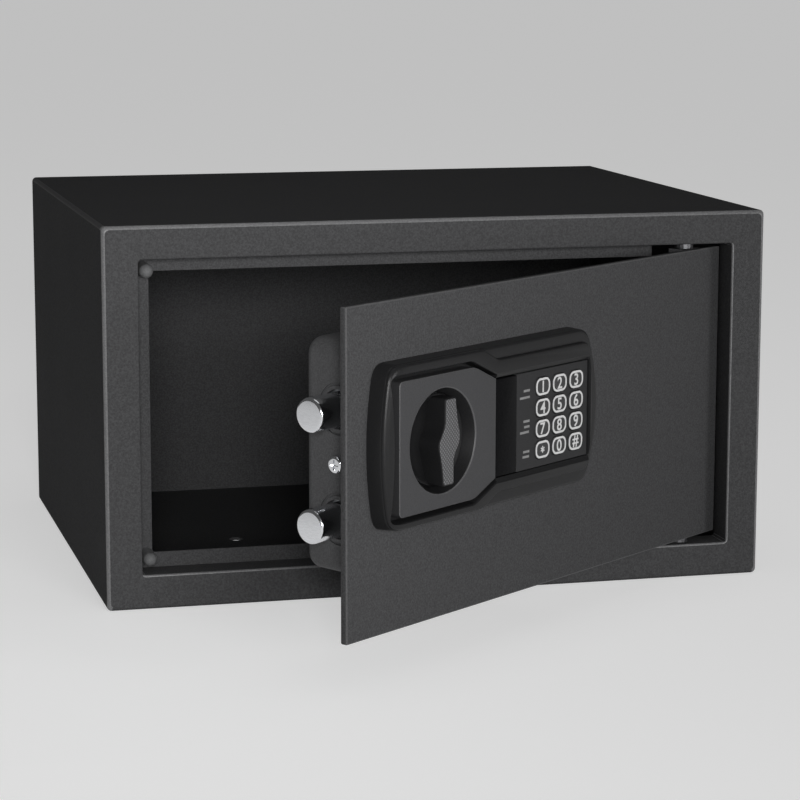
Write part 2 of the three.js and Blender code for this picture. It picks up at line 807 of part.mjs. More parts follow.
function makeKey(column, row) {
  const [x, z] = keyCentre(column, row);
  const front = -keypadFront - keyProud;
  const flangeFront = keypadFaceRear + seat;
  const cap = loft([
    [front, keyOutline(x, z, -keyEdgeInset)],
    [front + keyEdgeDepth, keyOutline(x, z, 0)],
    [flangeFront + 0.5, keyOutline(x, z, 0)],
  ], 2);
  const flange = slab(keyOutline(x, z, keyFlangeMargin), flangeFront, flangeFront + keyFlangeThickness, 0, 1);
  const stem = cylinderAlongY(x, z, keyStemDiameter, flangeFront + 0.5, panelRear - keyTravel - seat, 8);
  return join(cap, flange, stem);
}

function makeKeypadBoard() {
  return box(
    windowLeft + seat, keypadRight - seat, boardFront, boardRear, keypadBottom + seat, keypadTop - seat,
  );
}

// Knob: a dished disc with an S-shaped grip across it. Each side of the grip swells by the middle and
// hollows out towards its end, and the second side is the first one turned half round.
function gripOutline() {
  const half = gripLength / 2;
  const shape = new THREE.Shape();
  const side = (sign) => {
    shape.lineTo(sign * gripEndLead, sign * half);
    shape.quadraticCurveTo(
      sign * (gripEndLead + 1.2), sign * gripShoulder,
      sign * gripMiddleHalf * 0.87, sign * gripShoulder * 0.46,
    );
    shape.quadraticCurveTo(
      sign * gripMiddleHalf, sign * gripShoulder * 0.15,
      sign * gripMiddleHalf * 0.85, sign * gripShoulder * -0.15,
    );
    shape.quadraticCurveTo(
      sign * (gripEndTrail + 1), sign * gripShoulder * -0.54,
      sign * gripEndTrail, sign * gripShoulder * -0.85,
    );
    shape.lineTo(sign * gripEndTrail, sign * (1 - half));
    shape.quadraticCurveTo(sign * gripEndTrail, sign * -half, sign * (gripEndTrail - 1), sign * -half);
  };
  shape.moveTo(1 - gripEndTrail, half);
  side(1);
  side(-1);
  return shape;
}

function makeKnob() {
  const radius = knobDiameter / 2;
  const fall = knobRimHeight - dishFloor;
  const profile = [
    [0, 0], [radius, 0], [radius, knobRimHeight - knobRimWidth / 2],
    [radius - knobRimWidth * 0.4, knobRimHeight], [radius - knobRimWidth, knobRimHeight - knobRimWidth / 10],
    [radius - dishSlope * 0.28, dishFloor + fall * 0.41],
    [radius - dishSlope * 0.56, dishFloor + fall * 0.12],
    [radius - dishSlope, dishFloor], [0, dishFloor],
  ];
  const dish = turned(profile, 32).rotateX(Math.PI).translate(knobX, -knobFloor, lockHeight);
  const grip = slab(gripOutline(), -gripHeight - knobFloor, -knobFloor - 1, gripEdgeBreak, 3);
  grip.translate(knobX, 0, lockHeight);
  const socket = cylinderAlongY(
    knobX, lockHeight, spindleDiameter + 2 * seat, -knobFloor - spindleInKnob, 1, 12,
  );
  return cut(join(dish, grip), socket);
}

function makeSpindle() {
  return cylinderAlongY(
    knobX, lockHeight, spindleDiameter, -knobFloor - spindleInKnob + seat, camDepth + camThickness + 0.8, 12,
  );
}

function makeBush() {
  const tube = join(
    cylinderAlongY(knobX, lockHeight, bushDiameter, seat, doorThickness + seat + bushFlangeThickness, 16),
    cylinderAlongY(
      knobX, lockHeight, bushFlange, doorThickness + seat, doorThickness + seat + bushFlangeThickness, 16,
    ),
  );
  const bore = cylinderAlongY(
    knobX, lockHeight, spindleDiameter + 2 * running, -1, doorThickness + 4, 12,
  );
  return cut(tube, bore);
}

function makeCam() {
  const rear = camDepth + camThickness;
  const disc = cut(
    cylinderAlongY(knobX, lockHeight, camDiameter, camDepth, rear, 24),
    cylinderAlongY(knobX, lockHeight, spindleDiameter + 2 * seat, camDepth - 1, rear + 1, 12),
  );
  const pin = cylinderAlongY(
    camPinX, camPinZ, camPinDiameter, rear - 0.5, carriageWebDepth + carriageThickness + camPinPast, 12,
  );
  return join(disc, pin);
}

// Bolt work
function makeBolt(z) {
  const radius = boltDiameter / 2;
  const profile = [
    [0, 0], [radius - boltChamfer, 0], [radius, boltChamfer], [radius, boltLength], [0, boltLength],
  ];
  return turned(profile, 24).rotateZ(-Math.PI / 2).translate(boltEnd, boltAxisDepth, z);
}

function makeCarriage() {
  const z0 = boltHeights[1] - carriageOverhang;
  const z1 = boltHeights[0] + carriageOverhang;
  const tail = box(
    carriageX, carriageX + carriageThickness, carriageWebDepth, boltAxisDepth + boltDiameter / 2 + 1, z0, z1,
  );
  const web = box(
    carriageX + carriageThickness - carriageWebWidth, carriageX + 0.5,
    carriageWebDepth, carriageWebDepth + carriageThickness, z0, z1,
  );
  const slotHalf = camPinDiameter / 2 + slotClearance;
  const slot = slab(roundedRectangle(
    camPinX - slotHalf, camPinX + slotHalf,
    camPinZ - slotHalf, lockHeight + camPinRadius + slotHalf, slotHalf - 0.01,
  ), carriageWebDepth - 1, carriageWebDepth + carriageThickness + 1, 0, 3);
  return cut(join(tail, web), slot);
}

function makeBoltScrew(z) {
  const x = carriageX + carriageThickness + seat;
  return cylinderAlongX(boltAxisDepth, z, boltScrewDiameter, x, x + boltScrewHead, 12);
}

function makeBoltGuide() {
  const x0 = coverLeft + coverWall + coverDraft + insideGap;
  const x1 = x0 + guideThickness;
  const z0 = boltHeights[1] - carriageOverhang - 2;
  const z1 = boltHeights[0] + carriageOverhang + 2;
  const plate = box(x0, x1, coverFront, boltAxisDepth + boltDiameter / 2 + 3, z0, z1);
  const foot = box(x0, x1 + guideFoot, coverFront, coverFront + guideThickness, z0, z1);
  const holes = boltHeights.map((z) => cylinderAlongX(
    boltAxisDepth, z, boltDiameter + 2 * running, x0 - 1, x1 + 1, 24,
  ));
  const screwHole = cylinderAlongX(
    coverScrewDepth, boltMidHeight, coverScrewShank + 2 * seat, x0 - 1, x1 + 1, 12,
  );
  return cut(join(plate, foot), ...holes, screwHole);
}

function makeCoverBracket() {
  const x1 = coverRight - coverWall - coverDraft - insideGap;
  const z0 = boltMidHeight - bracketHalf;
  const z1 = boltMidHeight + bracketHalf;
  const plate = box(x1 - guideThickness, x1, coverFront, coverScrewDepth + bracketHalf, z0, z1);
  const foot = box(x1 - guideFoot, x1, coverFront, coverFront + guideThickness, z0, z1);
  const screwHole = cylinderAlongX(
    coverScrewDepth, boltMidHeight, coverScrewShank + 2 * seat, x1 - guideThickness - 1, x1 + 1, 12,
  );
  return cut(join(plate, foot), screwHole);
}

// Lock cover: a pressed shell, open towards the door plate, whose sides lean in by the draft
function draftAt(depth) {
  return (coverDraft * (depth - coverFront)) / (coverDepth - coverRearRadius - coverFront);
}

function coverSections(inset, front, rear) {
  const sections = [];
  const outline = (amount) => roundedRectangle(
    coverLeft + amount, coverRight - amount, coverBottom + amount, coverTop - amount,
    Math.max(coverCorner - amount, 2),
  );
  sections.push([front, outline(inset)]);
  const roundStart = rear - coverRearRadius;
  const roundSteps = 4;
  for (let i = 0; i <= roundSteps; i += 1) {
    const turn = (i / roundSteps) * (Math.PI / 2);
    const depth = roundStart + coverRearRadius * Math.sin(turn);
    sections.push([depth, outline(inset + coverDraft + coverRearRadius * (1 - Math.cos(turn)))]);
  }
  return sections;
}

function makeLockCover() {
  const shell = loft(coverSections(0, coverFront, coverDepth), 3);
  const hollow = loft(coverSections(coverWall, coverFront - 1, coverDepth - coverWall), 3);
  const left = coverLeft - 2;
  const wallAtBolts = coverLeft + draftAt(boltAxisDepth);
  const holeDiameter = boltDiameter + 4 * running;
  const collars = boltHeights.map((z) => cylinderAlongX(
    boltAxisDepth, z, holeDiameter + 2 * collarWidth, wallAtBolts - collarHeight, wallAtBolts + 1, 24,
  ));
  const boltHoles = boltHeights.map((z) => cylinderAlongX(
    boltAxisDepth, z, holeDiameter, left, coverLeft + 10, 24,
  ));
  const screwSpans = [[left, coverLeft + 10], [coverRight - 10, coverRight + 2]];
  const screwHoles = screwSpans.map(([x0, x1]) => cylinderAlongX(
    coverScrewDepth, boltMidHeight, coverScrewShank + 2 * seat, x0, x1, 12,
  ));
  const batteryOpening = box(
    batteryBoxLeft + batteryBoxWall, batteryBoxRight - batteryBoxWall, coverDepth - 5, coverDepth + 2,
    batteryBoxBottom + batteryBoxWall, batteryBoxTop - batteryBoxWall,
  );
  const railX0 = batteryBoxLeft - batteryLidMargin;
  const railX1 = batteryBoxRight + batteryLidMargin;
  const lidTop = batteryBoxTop + batteryLidMargin;
  const lidBottom = batteryBoxBottom - batteryLidMargin;
  const lipFront = coverDepth + 2 * seat + batteryLidThickness;
  const railBox = (depth, z0, z1) => box(
    railX0, railX1, depth, lipFront + railLipThickness, Math.min(z0, z1), Math.max(z0, z1),
  );
  const rails = [[lidTop, 1], [lidBottom, -1]].flatMap(([edge, side]) => [
    railBox(coverDepth - 0.5, edge + side * seat, edge + side * railWidth),
    railBox(lipFront, edge - side * railLip, edge + side * railWidth),
  ]);
  const resetHole = cylinderAlongY(
    resetX, resetZ, resetDiameter + 2 * running, coverDepth - 5, coverDepth + 5, 12,
  );
  const resetCollar = cylinderAlongY(
    resetX, resetZ, resetDiameter + 2 * resetCollarMargin, coverDepth - 1, coverDepth + resetCollarHeight, 16,
  );
  return cut(
    join(cut(join(shell, ...collars), hollow), ...rails, resetCollar),
    ...boltHoles, ...screwHoles, batteryOpening, resetHole,
  );
}

function makeCoverScrew(side) {
  const draft = draftAt(coverScrewDepth);
  const wall = side < 0 ? coverLeft + draft : coverRight - draft;
  const radius = coverScrewDiameter / 2;
  const end = coverScrewHead + coverScrewReach;
  const profile = [
    [0, 0], [radius - coverScrewRound * 0.9, coverScrewRound / 9], [radius, coverScrewRound],
    [radius, coverScrewHead], [coverScrewShank / 2, coverScrewHead], [coverScrewShank / 2, end], [0, end],
  ];
  const screw = turned(profile, 12).translate(0, -coverScrewHead - insideGap, 0);
  return screw.rotateZ((side * Math.PI) / 2).translate(wall, coverScrewDepth, boltMidHeight);
}

// Battery box, cells and lid
function makeBatteryBox() {
  return cut(
    box(batteryBoxLeft, batteryBoxRight, batteryBoxFront, batteryBoxRear, batteryBoxBottom, batteryBoxTop),
    box(
      batteryBoxLeft + batteryBoxWall, batteryBoxRight - batteryBoxWall,
      batteryBoxFront + batteryBoxWall, batteryBoxRear + 1,
      batteryBoxBottom + batteryBoxWall, batteryBoxTop - batteryBoxWall,
    ),
  );
}

function cellPlace(index) {
  const y = batteryBoxFront + batteryBoxWall + seat + cellDiameter / 2;
  const z = batteryBoxBottom + batteryBoxWall + cellPitch * (index + 0.5);
  return [y, z];
}

function makeCell(index) {
  const [y, z] = cellPlace(index);
  const radius = cellDiameter / 2;
  const shoulder = cellLength - cellNubHeight;
  const profile = [
    [0, 0], [radius - cellEdge, 0], [radius, cellEdge], [radius, shoulder - cellEdge],
    [radius - cellEdge, shoulder], [cellNub / 2, shoulder], [cellNub / 2, cellLength], [0, cellLength],
  ];
  const turn = index % 2 === 0 ? -1 : 1;
  const middle = (batteryBoxLeft + batteryBoxRight) / 2;
  const cell = turned(profile, 12).translate(0, -cellLength / 2, 0);
  return cell.rotateZ((turn * Math.PI) / 2).translate(middle, y, z);
}

// Spring contacts: a strip on each end wall of the tray with a raised spring for every cell
function makeContactPlate(side) {
  const wall = side < 0 ? batteryBoxLeft + batteryBoxWall + seat : batteryBoxRight - batteryBoxWall - seat;
  const y0 = batteryBoxFront + batteryBoxWall + seat;
  const x0 = Math.min(wall, wall - side * contactThickness);
  const strip = box(
    x0, x0 + contactThickness, y0, y0 + cellDiameter,
    batteryBoxBottom + batteryBoxWall + 1, batteryBoxTop - batteryBoxWall - 1,
  );
  const reach = springSpace - 2 * seat;
  const springs = [];
  for (let index = 0; index < cellCount; index += 1) {
    const [y, z] = cellPlace(index);
    const far = wall - side * reach;
    springs.push(cylinderAlongX(y, z, cellNub + 1, wall, far, 8));
  }
  return join(strip, ...springs);
}

function makeBatteryLid() {
  const x0 = batteryBoxLeft - batteryLidMargin;
  const x1 = batteryBoxRight + batteryLidMargin;
  const y0 = coverDepth + seat;
  const y1 = y0 + batteryLidThickness;
  const lid = box(x0, x1, y0, y1, batteryBoxBottom - batteryLidMargin, batteryBoxTop + batteryLidMargin);
  const ribs = [];
  for (let i = 1; i <= lidRibCount; i += 1) {
    const x = x0 + (i + 1) * lidRibPitch;
    ribs.push(box(
      x, x + lidRibWidth, y1 - 0.3, y1 + lidRibHeight,
      batteryBoxBottom + lidRibInset, batteryBoxTop - lidRibInset,
    ));
  }
  return join(lid, ...ribs);
}

// Solenoid, control board and reset button
function makeSolenoid() {
  const body = box(
    solenoidX - solenoidWidth / 2, solenoidX + solenoidWidth / 2,
    plungerY - solenoidDepth / 2, plungerY + solenoidDepth / 2,
    solenoidBottom, solenoidBottom + solenoidHeight,
  );
  const foot = box(
    solenoidX - solenoidWidth / 2, solenoidX + solenoidWidth / 2,
    coverFront, plungerY - solenoidDepth / 2 + 0.5, solenoidBottom, solenoidBottom + solenoidFoot,
  );
  const bore = cylinderAlongZ(solenoidX, plungerY, solenoidBore, solenoidBottom - 1, plungerTop + 1, 14);
  return cut(join(body, foot), bore);
}

function makePlunger() {
  return cylinderAlongZ(solenoidX, plungerY, plungerDiameter, solenoidBottom - plungerProud, plungerTop, 14);
}

function makeControlBoard() {
  return box(
    resetX - boardPastReset, controlBoardRight, controlBoardRear - boardThickness, controlBoardRear,
    batteryBoxTop + boardMargin, coverTop - boardBelowTop,
  );
}

function makeBoardPost() {
  return cylinderAlongY(
    controlBoardRight - boardPostInset, resetZ, boardPostDiameter,
    coverFront, controlBoardRear - boardThickness - seat, 12,
  );
}

function makeResetButton() {
  const stem = cylinderAlongY(resetX, resetZ, resetDiameter, resetStemFront, coverDepth + resetProud, 12);
  const flange = cylinderAlongY(
    resetX, resetZ, resetDiameter + 2 * resetFlangeMargin, resetStemFront, coverDepth - coverWall - seat, 12,
  );
  return join(stem, flange);
}

// Assembly
const safe = new THREE.Group();
const cabinet = new THREE.Group();
cabinet.position.y = -bodyDepth / 2;
safe.add(cabinet);

addPiece(cabinet, 'front_frame', makeFrontFrame(), charcoalPaint);
addPiece(cabinet, 'body_wrap', makeBodyWrap(), charcoalPaint);
addPiece(cabinet, 'back_panel', makeBackPanel(), charcoalPaint);
addPiece(cabinet, 'door_stop', makeDoorStop(), charcoalPaint);
addPiece(cabinet, 'bumper_upper', makeBumper(openingTop - bumperDrop), rubberGrey);
addPiece(cabinet, 'bumper_lower', makeBumper(openingBottom + bumperDrop), rubberGrey);
addPiece(cabinet, 'hinge_washer_upper', makeWasher(doorTop + seat, openingTop - seat), plainSteel);
addPiece(cabinet, 'hinge_washer_lower', makeWasher(openingBottom + seat, doorBottom - seat), plainSteel);

const doorSwing = new THREE.Group();
doorSwing.position.set(pivotX, pivotSetback, 0);
doorSwing.rotation.z = doorOpenAngle;
cabinet.add(doorSwing);
const door = new THREE.Group();
door.position.set(-pivotX, -pivotSetback, 0);
doorSwing.add(door);

addPiece(door, 'door_panel', makeDoorPanel(), charcoalPaint);
addPiece(door, 'hinge_block_upper', makeHingeBlock(1), charcoalPaint);
addPiece(door, 'hinge_block_lower', makeHingeBlock(-1), charcoalPaint);
addPiece(door, 'hinge_pin_upper', makeHingePin(1), plainSteel);
addPiece(door, 'hinge_pin_lower', makeHingePin(-1), plainSteel);

addPiece(door, 'lock_housing', makeHousing(), blackPlastic);
addPiece(door, 'dial_plate', makeDialPlate(), greyPlastic);
addPiece(door, 'status_window', makeStatusWindow(), smokedPlastic);
addPiece(door, 'status_led_red', makeLed(ledHeights[0]), redPlastic);
addPiece(door, 'status_led_green', makeLed(ledHeights[1]), greenPlastic);
addPiece(door, 'keypad_panel', makeKeypadPanel(), greyPlastic);
addPiece(door, 'keypad_board', makeKeypadBoard(), boardGreen);

const keyNames = [['1', '2', '3'], ['4', '5', '6'], ['7', '8', '9'], ['star', '0', 'hash']];
for (let row = 0; row < keyRows; row += 1) {
  for (let column = 0; column < keyColumns; column += 1) {
    addPiece(door, `key_${keyNames[row][column]}`, makeKey(column, row), greyPlastic);
  }
}

addPiece(door, 'knob', makeKnob(), blackPlastic);
addPiece(door, 'knob_spindle', makeSpindle(), plainSteel);
addPiece(door, 'spindle_bush', makeBush(), brass);
addPiece(door, 'drive_cam', makeCam(), plainSteel);

addPiece(door, 'bolt_carriage', makeCarriage(), plainSteel);
addPiece(door, 'bolt_upper', makeBolt(boltHeights[0]), brightSteel);
addPiece(door, 'bolt_lower', makeBolt(boltHeights[1]), brightSteel);
addPiece(door, 'bolt_screw_upper', makeBoltScrew(boltHeights[0]), plainSteel);
addPiece(door, 'bolt_screw_lower', makeBoltScrew(boltHeights[1]), plainSteel);
addPiece(door, 'bolt_guide', makeBoltGuide(), plainSteel);

addPiece(door, 'lock_cover', makeLockCover(), charcoalPaint);
addPiece(door, 'cover_bracket', makeCoverBracket(), plainSteel);
addPiece(door, 'cover_screw_left', makeCoverScrew(-1), brightSteel);
addPiece(door, 'cover_screw_right', makeCoverScrew(1), brightSteel);

addPiece(door, 'battery_box', makeBatteryBox(), blackPlastic);
for (let index = 0; index < cellCount; index += 1) {
  addPiece(door, `battery_cell_${index + 1}`, makeCell(index), cellWrap);
}
addPiece(door, 'contact_plate_left', makeContactPlate(-1), plainSteel);
addPiece(door, 'contact_plate_right', makeContactPlate(1), plainSteel);
addPiece(door, 'battery_cover', makeBatteryLid(), charcoalPaint);

addPiece(door, 'solenoid_body', makeSolenoid(), plainSteel);
addPiece(door, 'solenoid_plunger', makePlunger(), plainSteel);
addPiece(door, 'control_board', makeControlBoard(), boardGreen);
addPiece(door, 'board_post', makeBoardPost(), brass);
addPiece(door, 'reset_button', makeResetButton(), redPlastic);

export default safe;
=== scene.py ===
import math

import bmesh
import bpy
from mathutils import Matrix, Vector


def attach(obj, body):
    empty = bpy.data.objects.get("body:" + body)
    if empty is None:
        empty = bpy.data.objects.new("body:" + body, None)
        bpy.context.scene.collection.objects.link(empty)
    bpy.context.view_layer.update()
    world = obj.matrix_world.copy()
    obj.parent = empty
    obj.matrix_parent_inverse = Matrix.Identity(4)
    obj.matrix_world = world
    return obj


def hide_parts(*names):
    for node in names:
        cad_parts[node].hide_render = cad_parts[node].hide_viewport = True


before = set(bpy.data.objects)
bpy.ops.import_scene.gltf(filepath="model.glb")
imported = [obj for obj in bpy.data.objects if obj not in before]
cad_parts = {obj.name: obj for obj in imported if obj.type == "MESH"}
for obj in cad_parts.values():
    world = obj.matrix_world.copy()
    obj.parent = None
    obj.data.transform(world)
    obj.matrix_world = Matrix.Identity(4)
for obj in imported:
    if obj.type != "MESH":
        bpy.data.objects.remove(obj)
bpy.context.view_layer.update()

print("frame loaded")

# Pieces are drawn in millimetres as if the door were shut: x to the right, y back from the front face, z up.
# cabinetPlace and doorPlace then put them in the shared frame in metres, and doorPlace swings them open.
mm = 0.001
doorOpen = math.radians(37)
doorFront = -175
pivot = (164, 11)
toPivot = Matrix.Translation((*pivot, 0))
cabinetPlace = Matrix.Scale(mm, 4) @ Matrix.Translation((0, doorFront, 0))
doorPlace = cabinetPlace @ toPivot @ Matrix.Rotation(doorOpen, 4, "Z") @ toPivot.inverted()


def setMode(mode):
    bpy.ops.object.mode_set(mode=mode)


def deselectAll():
    if bpy.context.object and bpy.context.object.mode != "OBJECT":
        setMode("OBJECT")
    bpy.ops.object.select_all(action="DESELECT")


def makeActive(obj):
    deselectAll()
    obj.select_set(True)
    bpy.context.view_layer.objects.active = obj


def settle(obj, name):
    obj.name = name
    obj.data.name = name
    makeActive(obj)
    bpy.ops.object.transform_apply(location=True, rotation=True, scale=True)
    return obj


def addBox(name, x, y, z):
    deselectAll()
    middle = [(low + high) / 2 for low, high in (x, y, z)]
    size = [high - low for low, high in (x, y, z)]
    bpy.ops.mesh.primitive_cube_add(size=1, location=middle, scale=size)
    return settle(bpy.context.object, name)


# Sides of a circle: on small pieces, on most and on the large ones in front
smallSides, plainSides, largeSides = 48, 64, 96


def addCylinder(name, axis, centre, diameter, span, sides=plainSides):
    deselectAll()
    turn = {"X": (0, math.pi / 2, 0), "Y": (math.pi / 2, 0, 0), "Z": (0, 0, 0)}[axis]
    middle = list(centre)
    middle["XYZ".index(axis)] = (span[0] + span[1]) / 2
    bpy.ops.mesh.primitive_cylinder_add(
        vertices=sides, radius=diameter / 2, depth=abs(span[1] - span[0]), location=middle, rotation=turn
    )
    return settle(bpy.context.object, name)


def bevelEdges(obj, test, width, steps=3):
    # Bevels the edges that have both ends where the test says
    makeActive(obj)
    setMode("EDIT")
    bpy.ops.mesh.select_mode(type="EDGE")
    bpy.ops.mesh.select_all(action="DESELECT")
    mesh = bmesh.from_edit_mesh(obj.data)
    for edge in mesh.edges:
        edge.select = all(test(end.co) for end in edge.verts)
    mesh.select_flush_mode()
    bmesh.update_edit_mesh(obj.data)
    bpy.ops.mesh.bevel(offset=width, segments=steps, affect="EDGES", clamp_overlap=True)
    setMode("OBJECT")
    return obj


def take(sizes, names):
    return [sizes[name] for name in names.split()]


closeEnough = 0.01
flatNormal = 0.985


def near(value, target):
    return abs(value - target) < closeEnough


def stackOutlines(name, sections):
    # A ring of points is laid on the first outline and filled, then extruded and laid on each next one
    deselectAll()
    order = range(len(sections[0][1]))
    bpy.ops.mesh.primitive_circle_add(vertices=len(order), radius=1, fill_type="NGON")
    obj = bpy.context.object
    setMode("EDIT")
    bpy.ops.mesh.select_all(action="SELECT")
    for step, (depth, points) in enumerate(sections):
        if step:
            bpy.ops.mesh.extrude_region_move(TRANSFORM_OT_translate={"value": (0, 0, 1)})
        mesh = bmesh.from_edit_mesh(obj.data)
        mesh.verts.ensure_lookup_table()
        if step:
            # The new copy of a point is the only selected one that it is joined to
            joined = [[edge.other_vert(mesh.verts[i]) for edge in mesh.verts[i].link_edges] for i in order]
            order = [next(end.index for end in ends if end.select) for ends in joined]
        for i, (x, z) in zip(order, points):
            mesh.verts[i].co = (x, depth, z)
        bmesh.update_edit_mesh(obj.data)
    bpy.ops.mesh.select_all(action="SELECT")
    bpy.ops.mesh.normals_make_consistent(inside=False)
    setMode("OBJECT")
    return settle(obj, name)


def combine(obj, others, operation):
    for other in others:
        modifier = obj.modifiers.new("combine", "BOOLEAN")
        modifier.object = other
        modifier.operation = operation
        modifier.solver = "EXACT"
        makeActive(obj)
        bpy.ops.object.modifier_apply(modifier=modifier.name)
        bpy.data.objects.remove(other)
    return obj


def cut(obj, *others):
    return combine(obj, others, "DIFFERENCE")


def join(obj, *others):
    return combine(obj, others, "UNION")


def group(name, objs):
    # Separate closed shells that make one piece
    deselectAll()
    for obj in objs:
        obj.select_set(True)
    bpy.context.view_layer.objects.active = objs[0]
    bpy.ops.object.join()
    return settle(bpy.context.object, name)


def finishPiece(obj, place, body, finish, replaced=(), smoothAngle=32):
    obj.data.transform(place)
    makeActive(obj)
    bpy.ops.object.shade_smooth_by_angle(angle=math.radians(smoothAngle))
    obj.data.materials.clear()
    obj.data.materials.append(paints[finish])
    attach(obj, body)
    if replaced:
        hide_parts(*replaced)
    return obj


def wearAndHighlightEdges(obj, place, finish, keep=lambda point: True):
    # The rounded edges take a lighter, smoother paint: thin, rubbed powder coat and a painted highlight
    obj.data.materials.append(paints[finish])
    back = place.inverted()
    turn = back.to_3x3()
    for face in obj.data.polygons:
        normal = (turn @ face.normal).normalized()
        if max(abs(part) for part in normal) < flatNormal and keep(back @ face.center):
            face.material_index = 1
    return obj


def copyPiece(obj, name):
    copy = obj.copy()
    copy.data = obj.data.copy()
    copy.name = copy.data.name = name
    bpy.context.collection.objects.link(copy)
    return copy


def lift(z, x=0):
    return Matrix.Translation((x, 0, z))


def arc(centreX, centreZ, radius, start, end, steps):
    turns = [math.radians(start + (end - start) * i / steps) for i in range(steps + 1)]
    return [(centreX + radius * math.cos(turn), centreZ + radius * math.sin(turn)) for turn in turns]


def drawOutline(*parts):
    # Each part is a point, or a curve given by its control point, its end and its steps
    points = []
    for part in parts:
        if len(part) == 2:
            points.append(part)
            continue
        start, (control, end, steps) = points[-1], part
        for t in (i / steps for i in range(1, steps + 1)):
            points.append(
                tuple((1 - t) ** 2 * a + 2 * t * (1 - t) * b + t * t * c for a, b, c in zip(start, control, end))
            )
    return points


def roundedOutline(x0, x1, z0, z1, radius, steps=8):
    return (
        arc(x1 - radius, z0 + radius, radius, -90, 0, steps)
        + arc(x1 - radius, z1 - radius, radius, 0, 90, steps)
        + arc(x0 + radius, z1 - radius, radius, 90, 180, steps)
        + arc(x0 + radius, z0 + radius, radius, 180, 270, steps)
    )


def circleOutline(x, z, radius, steps=largeSides):
    return arc(x, z, radius, 0, 360, steps)[:-1]


def quarterRound(radius, steps):
    # Depth and inset along a rounded edge, from the face out to the side
    return [
        (radius * (1 - math.cos(turn)), radius * (1 - math.sin(turn)))
        for turn in (math.pi / 2 * i / steps for i in range(steps + 1))
    ]


def edgeSections(front, radius, steps, outline):
    return [(front + depth, outline(inset)) for depth, inset in quarterRound(radius, steps)]


def plateOutline(size, inset, radius, steps=8):
    (x0, x1), (z0, z1) = size["x"], size["z"]
    return roundedOutline(x0 + inset, x1 - inset, z0 + inset, z1 - inset, radius, steps)


# Effects that several finishes share
def newGroup(name, inputs, outputs):
    tree = bpy.data.node_groups.new(name, "ShaderNodeTree")
    for label, value in inputs.items():
        kind = "NodeSocketVector" if label == "Vector" else "NodeSocketFloat"
        tree.interface.new_socket(name=label, in_out="INPUT", socket_type=kind).default_value = value
    for label in outputs:
        tree.interface.new_socket(name=label, in_out="OUTPUT", socket_type="NodeSocketFloat")
    return tree, tree.nodes.new("NodeGroupInput").outputs, tree.nodes.new("NodeGroupOutput")


def setInputs(tree, node, inputs):
    # Each input takes the socket or the value given for it
    for target, source in inputs.items():
        if isinstance(source, bpy.types.NodeSocket):
            tree.links.new(source, node.inputs[target])
        else:
            node.inputs[target].default_value = source


def addNode(tree, kind, inputs, **settings):
    node = tree.nodes.new("ShaderNode" + kind)
    for key, value in settings.items():
        setattr(node, key, value)
    setInputs(tree, node, inputs)
    return node.outputs


def makePowderGrain():
    tree, given, result = newGroup(
        "powderGrain",
        {"Vector": (0, 0, 0), "Grain Scale": 900, "Speckle Scale": 700},
        ("Height", "Speckle", "Cloud"),
    )
    vector, scale = given["Vector"], given["Grain Scale"]
    fine = addNode(tree, "TexNoise", {"Vector": vector, "Scale": scale, "Detail": 3, "Roughness": 0.6})
    pebble = addNode(tree, "TexVoronoi", {"Vector": vector, "Scale": scale})
    height = addNode(tree, "Math", {0: fine["Fac"], 1: pebble["Distance"]}, operation="SUBTRACT")
    speckle = addNode(
        tree, "TexNoise", {"Vector": vector, "Scale": given["Speckle Scale"], "Detail": 2, "Roughness": 0.7}
    )
    spread = addNode(tree, "MapRange", {"Value": speckle["Fac"], "From Min": 0.34, "From Max": 0.66})
    cloud = addNode(tree, "TexNoise", {"Vector": vector, "Scale": 9, "Detail": 3, "Roughness": 0.5})
    setInputs(tree, result, {"Height": height[0], "Speckle": spread["Result"], "Cloud": cloud["Fac"]})
    return tree


def makeFineScratches():
    tree, given, result = newGroup(
        "fineScratches", {"Vector": (0, 0, 0), "Scale": 60, "Stretch": 18}, ("Height", "Mask")
    )
    stretch = addNode(tree, "CombineXYZ", {"X": 1, "Y": 1, "Z": given["Stretch"]})
    vector = addNode(tree, "VectorMath", {0: given["Vector"], 1: stretch[0]}, operation="MULTIPLY")[0]
    noise = addNode(tree, "TexNoise", {"Vector": vector, "Scale": given["Scale"], "Detail": 4, "Roughness": 0.65})
    mask = addNode(tree, "MapRange", {"Value": noise["Fac"], "From Min": 0.3, "From Max": 0.7})
    setInputs(tree, result, {"Height": noise["Fac"], "Mask": mask["Result"]})
    return tree


powderGrain = makePowderGrain()
fineScratches = makeFineScratches()


def startMaterial(name):
    material = bpy.data.materials.new(name)
    material.use_nodes = True
    tree = material.node_tree
    return material, tree, tree.nodes["Principled BSDF"]


def objectPlace(tree):
    return addNode(tree, "TexCoord", {})["Object"]


def dressShader(tree, shader, look, tone, gloss, height, values):
    # Two tones, a gloss and a bump, with the other values that the finish needs
    colours = {"Factor": tone, "A": (*look["dark"], 1), "B": (*look["light"], 1)}
    reach = look["bumpReach"] * mm
    bump = addNode(tree, "Bump", {"Height": height, "Strength": look["bump"], "Distance": reach})
    setInputs(tree, shader, {
        "Base Color": addNode(tree, "Mix", colours, data_type="RGBA")["Result"],
        "Roughness": gloss, "Normal": bump["Normal"], **values,
    })


def makeFinish(name, look, effect, scales, tone, gloss, values):
    # A finish whose tone, gloss and bump all come from one shared effect
    material, tree, shader = startMaterial(name)
    masks = addNode(tree, "Group", {"Vector": objectPlace(tree), **scales}, node_tree=effect)
    low, high = look["roughness"]
    spread = addNode(tree, "MapRange", {"Value": masks[gloss], "To Min": low, "To Max": high})
    dressShader(tree, shader, look, masks[tone], spread["Result"], masks["Height"], values)
    return material


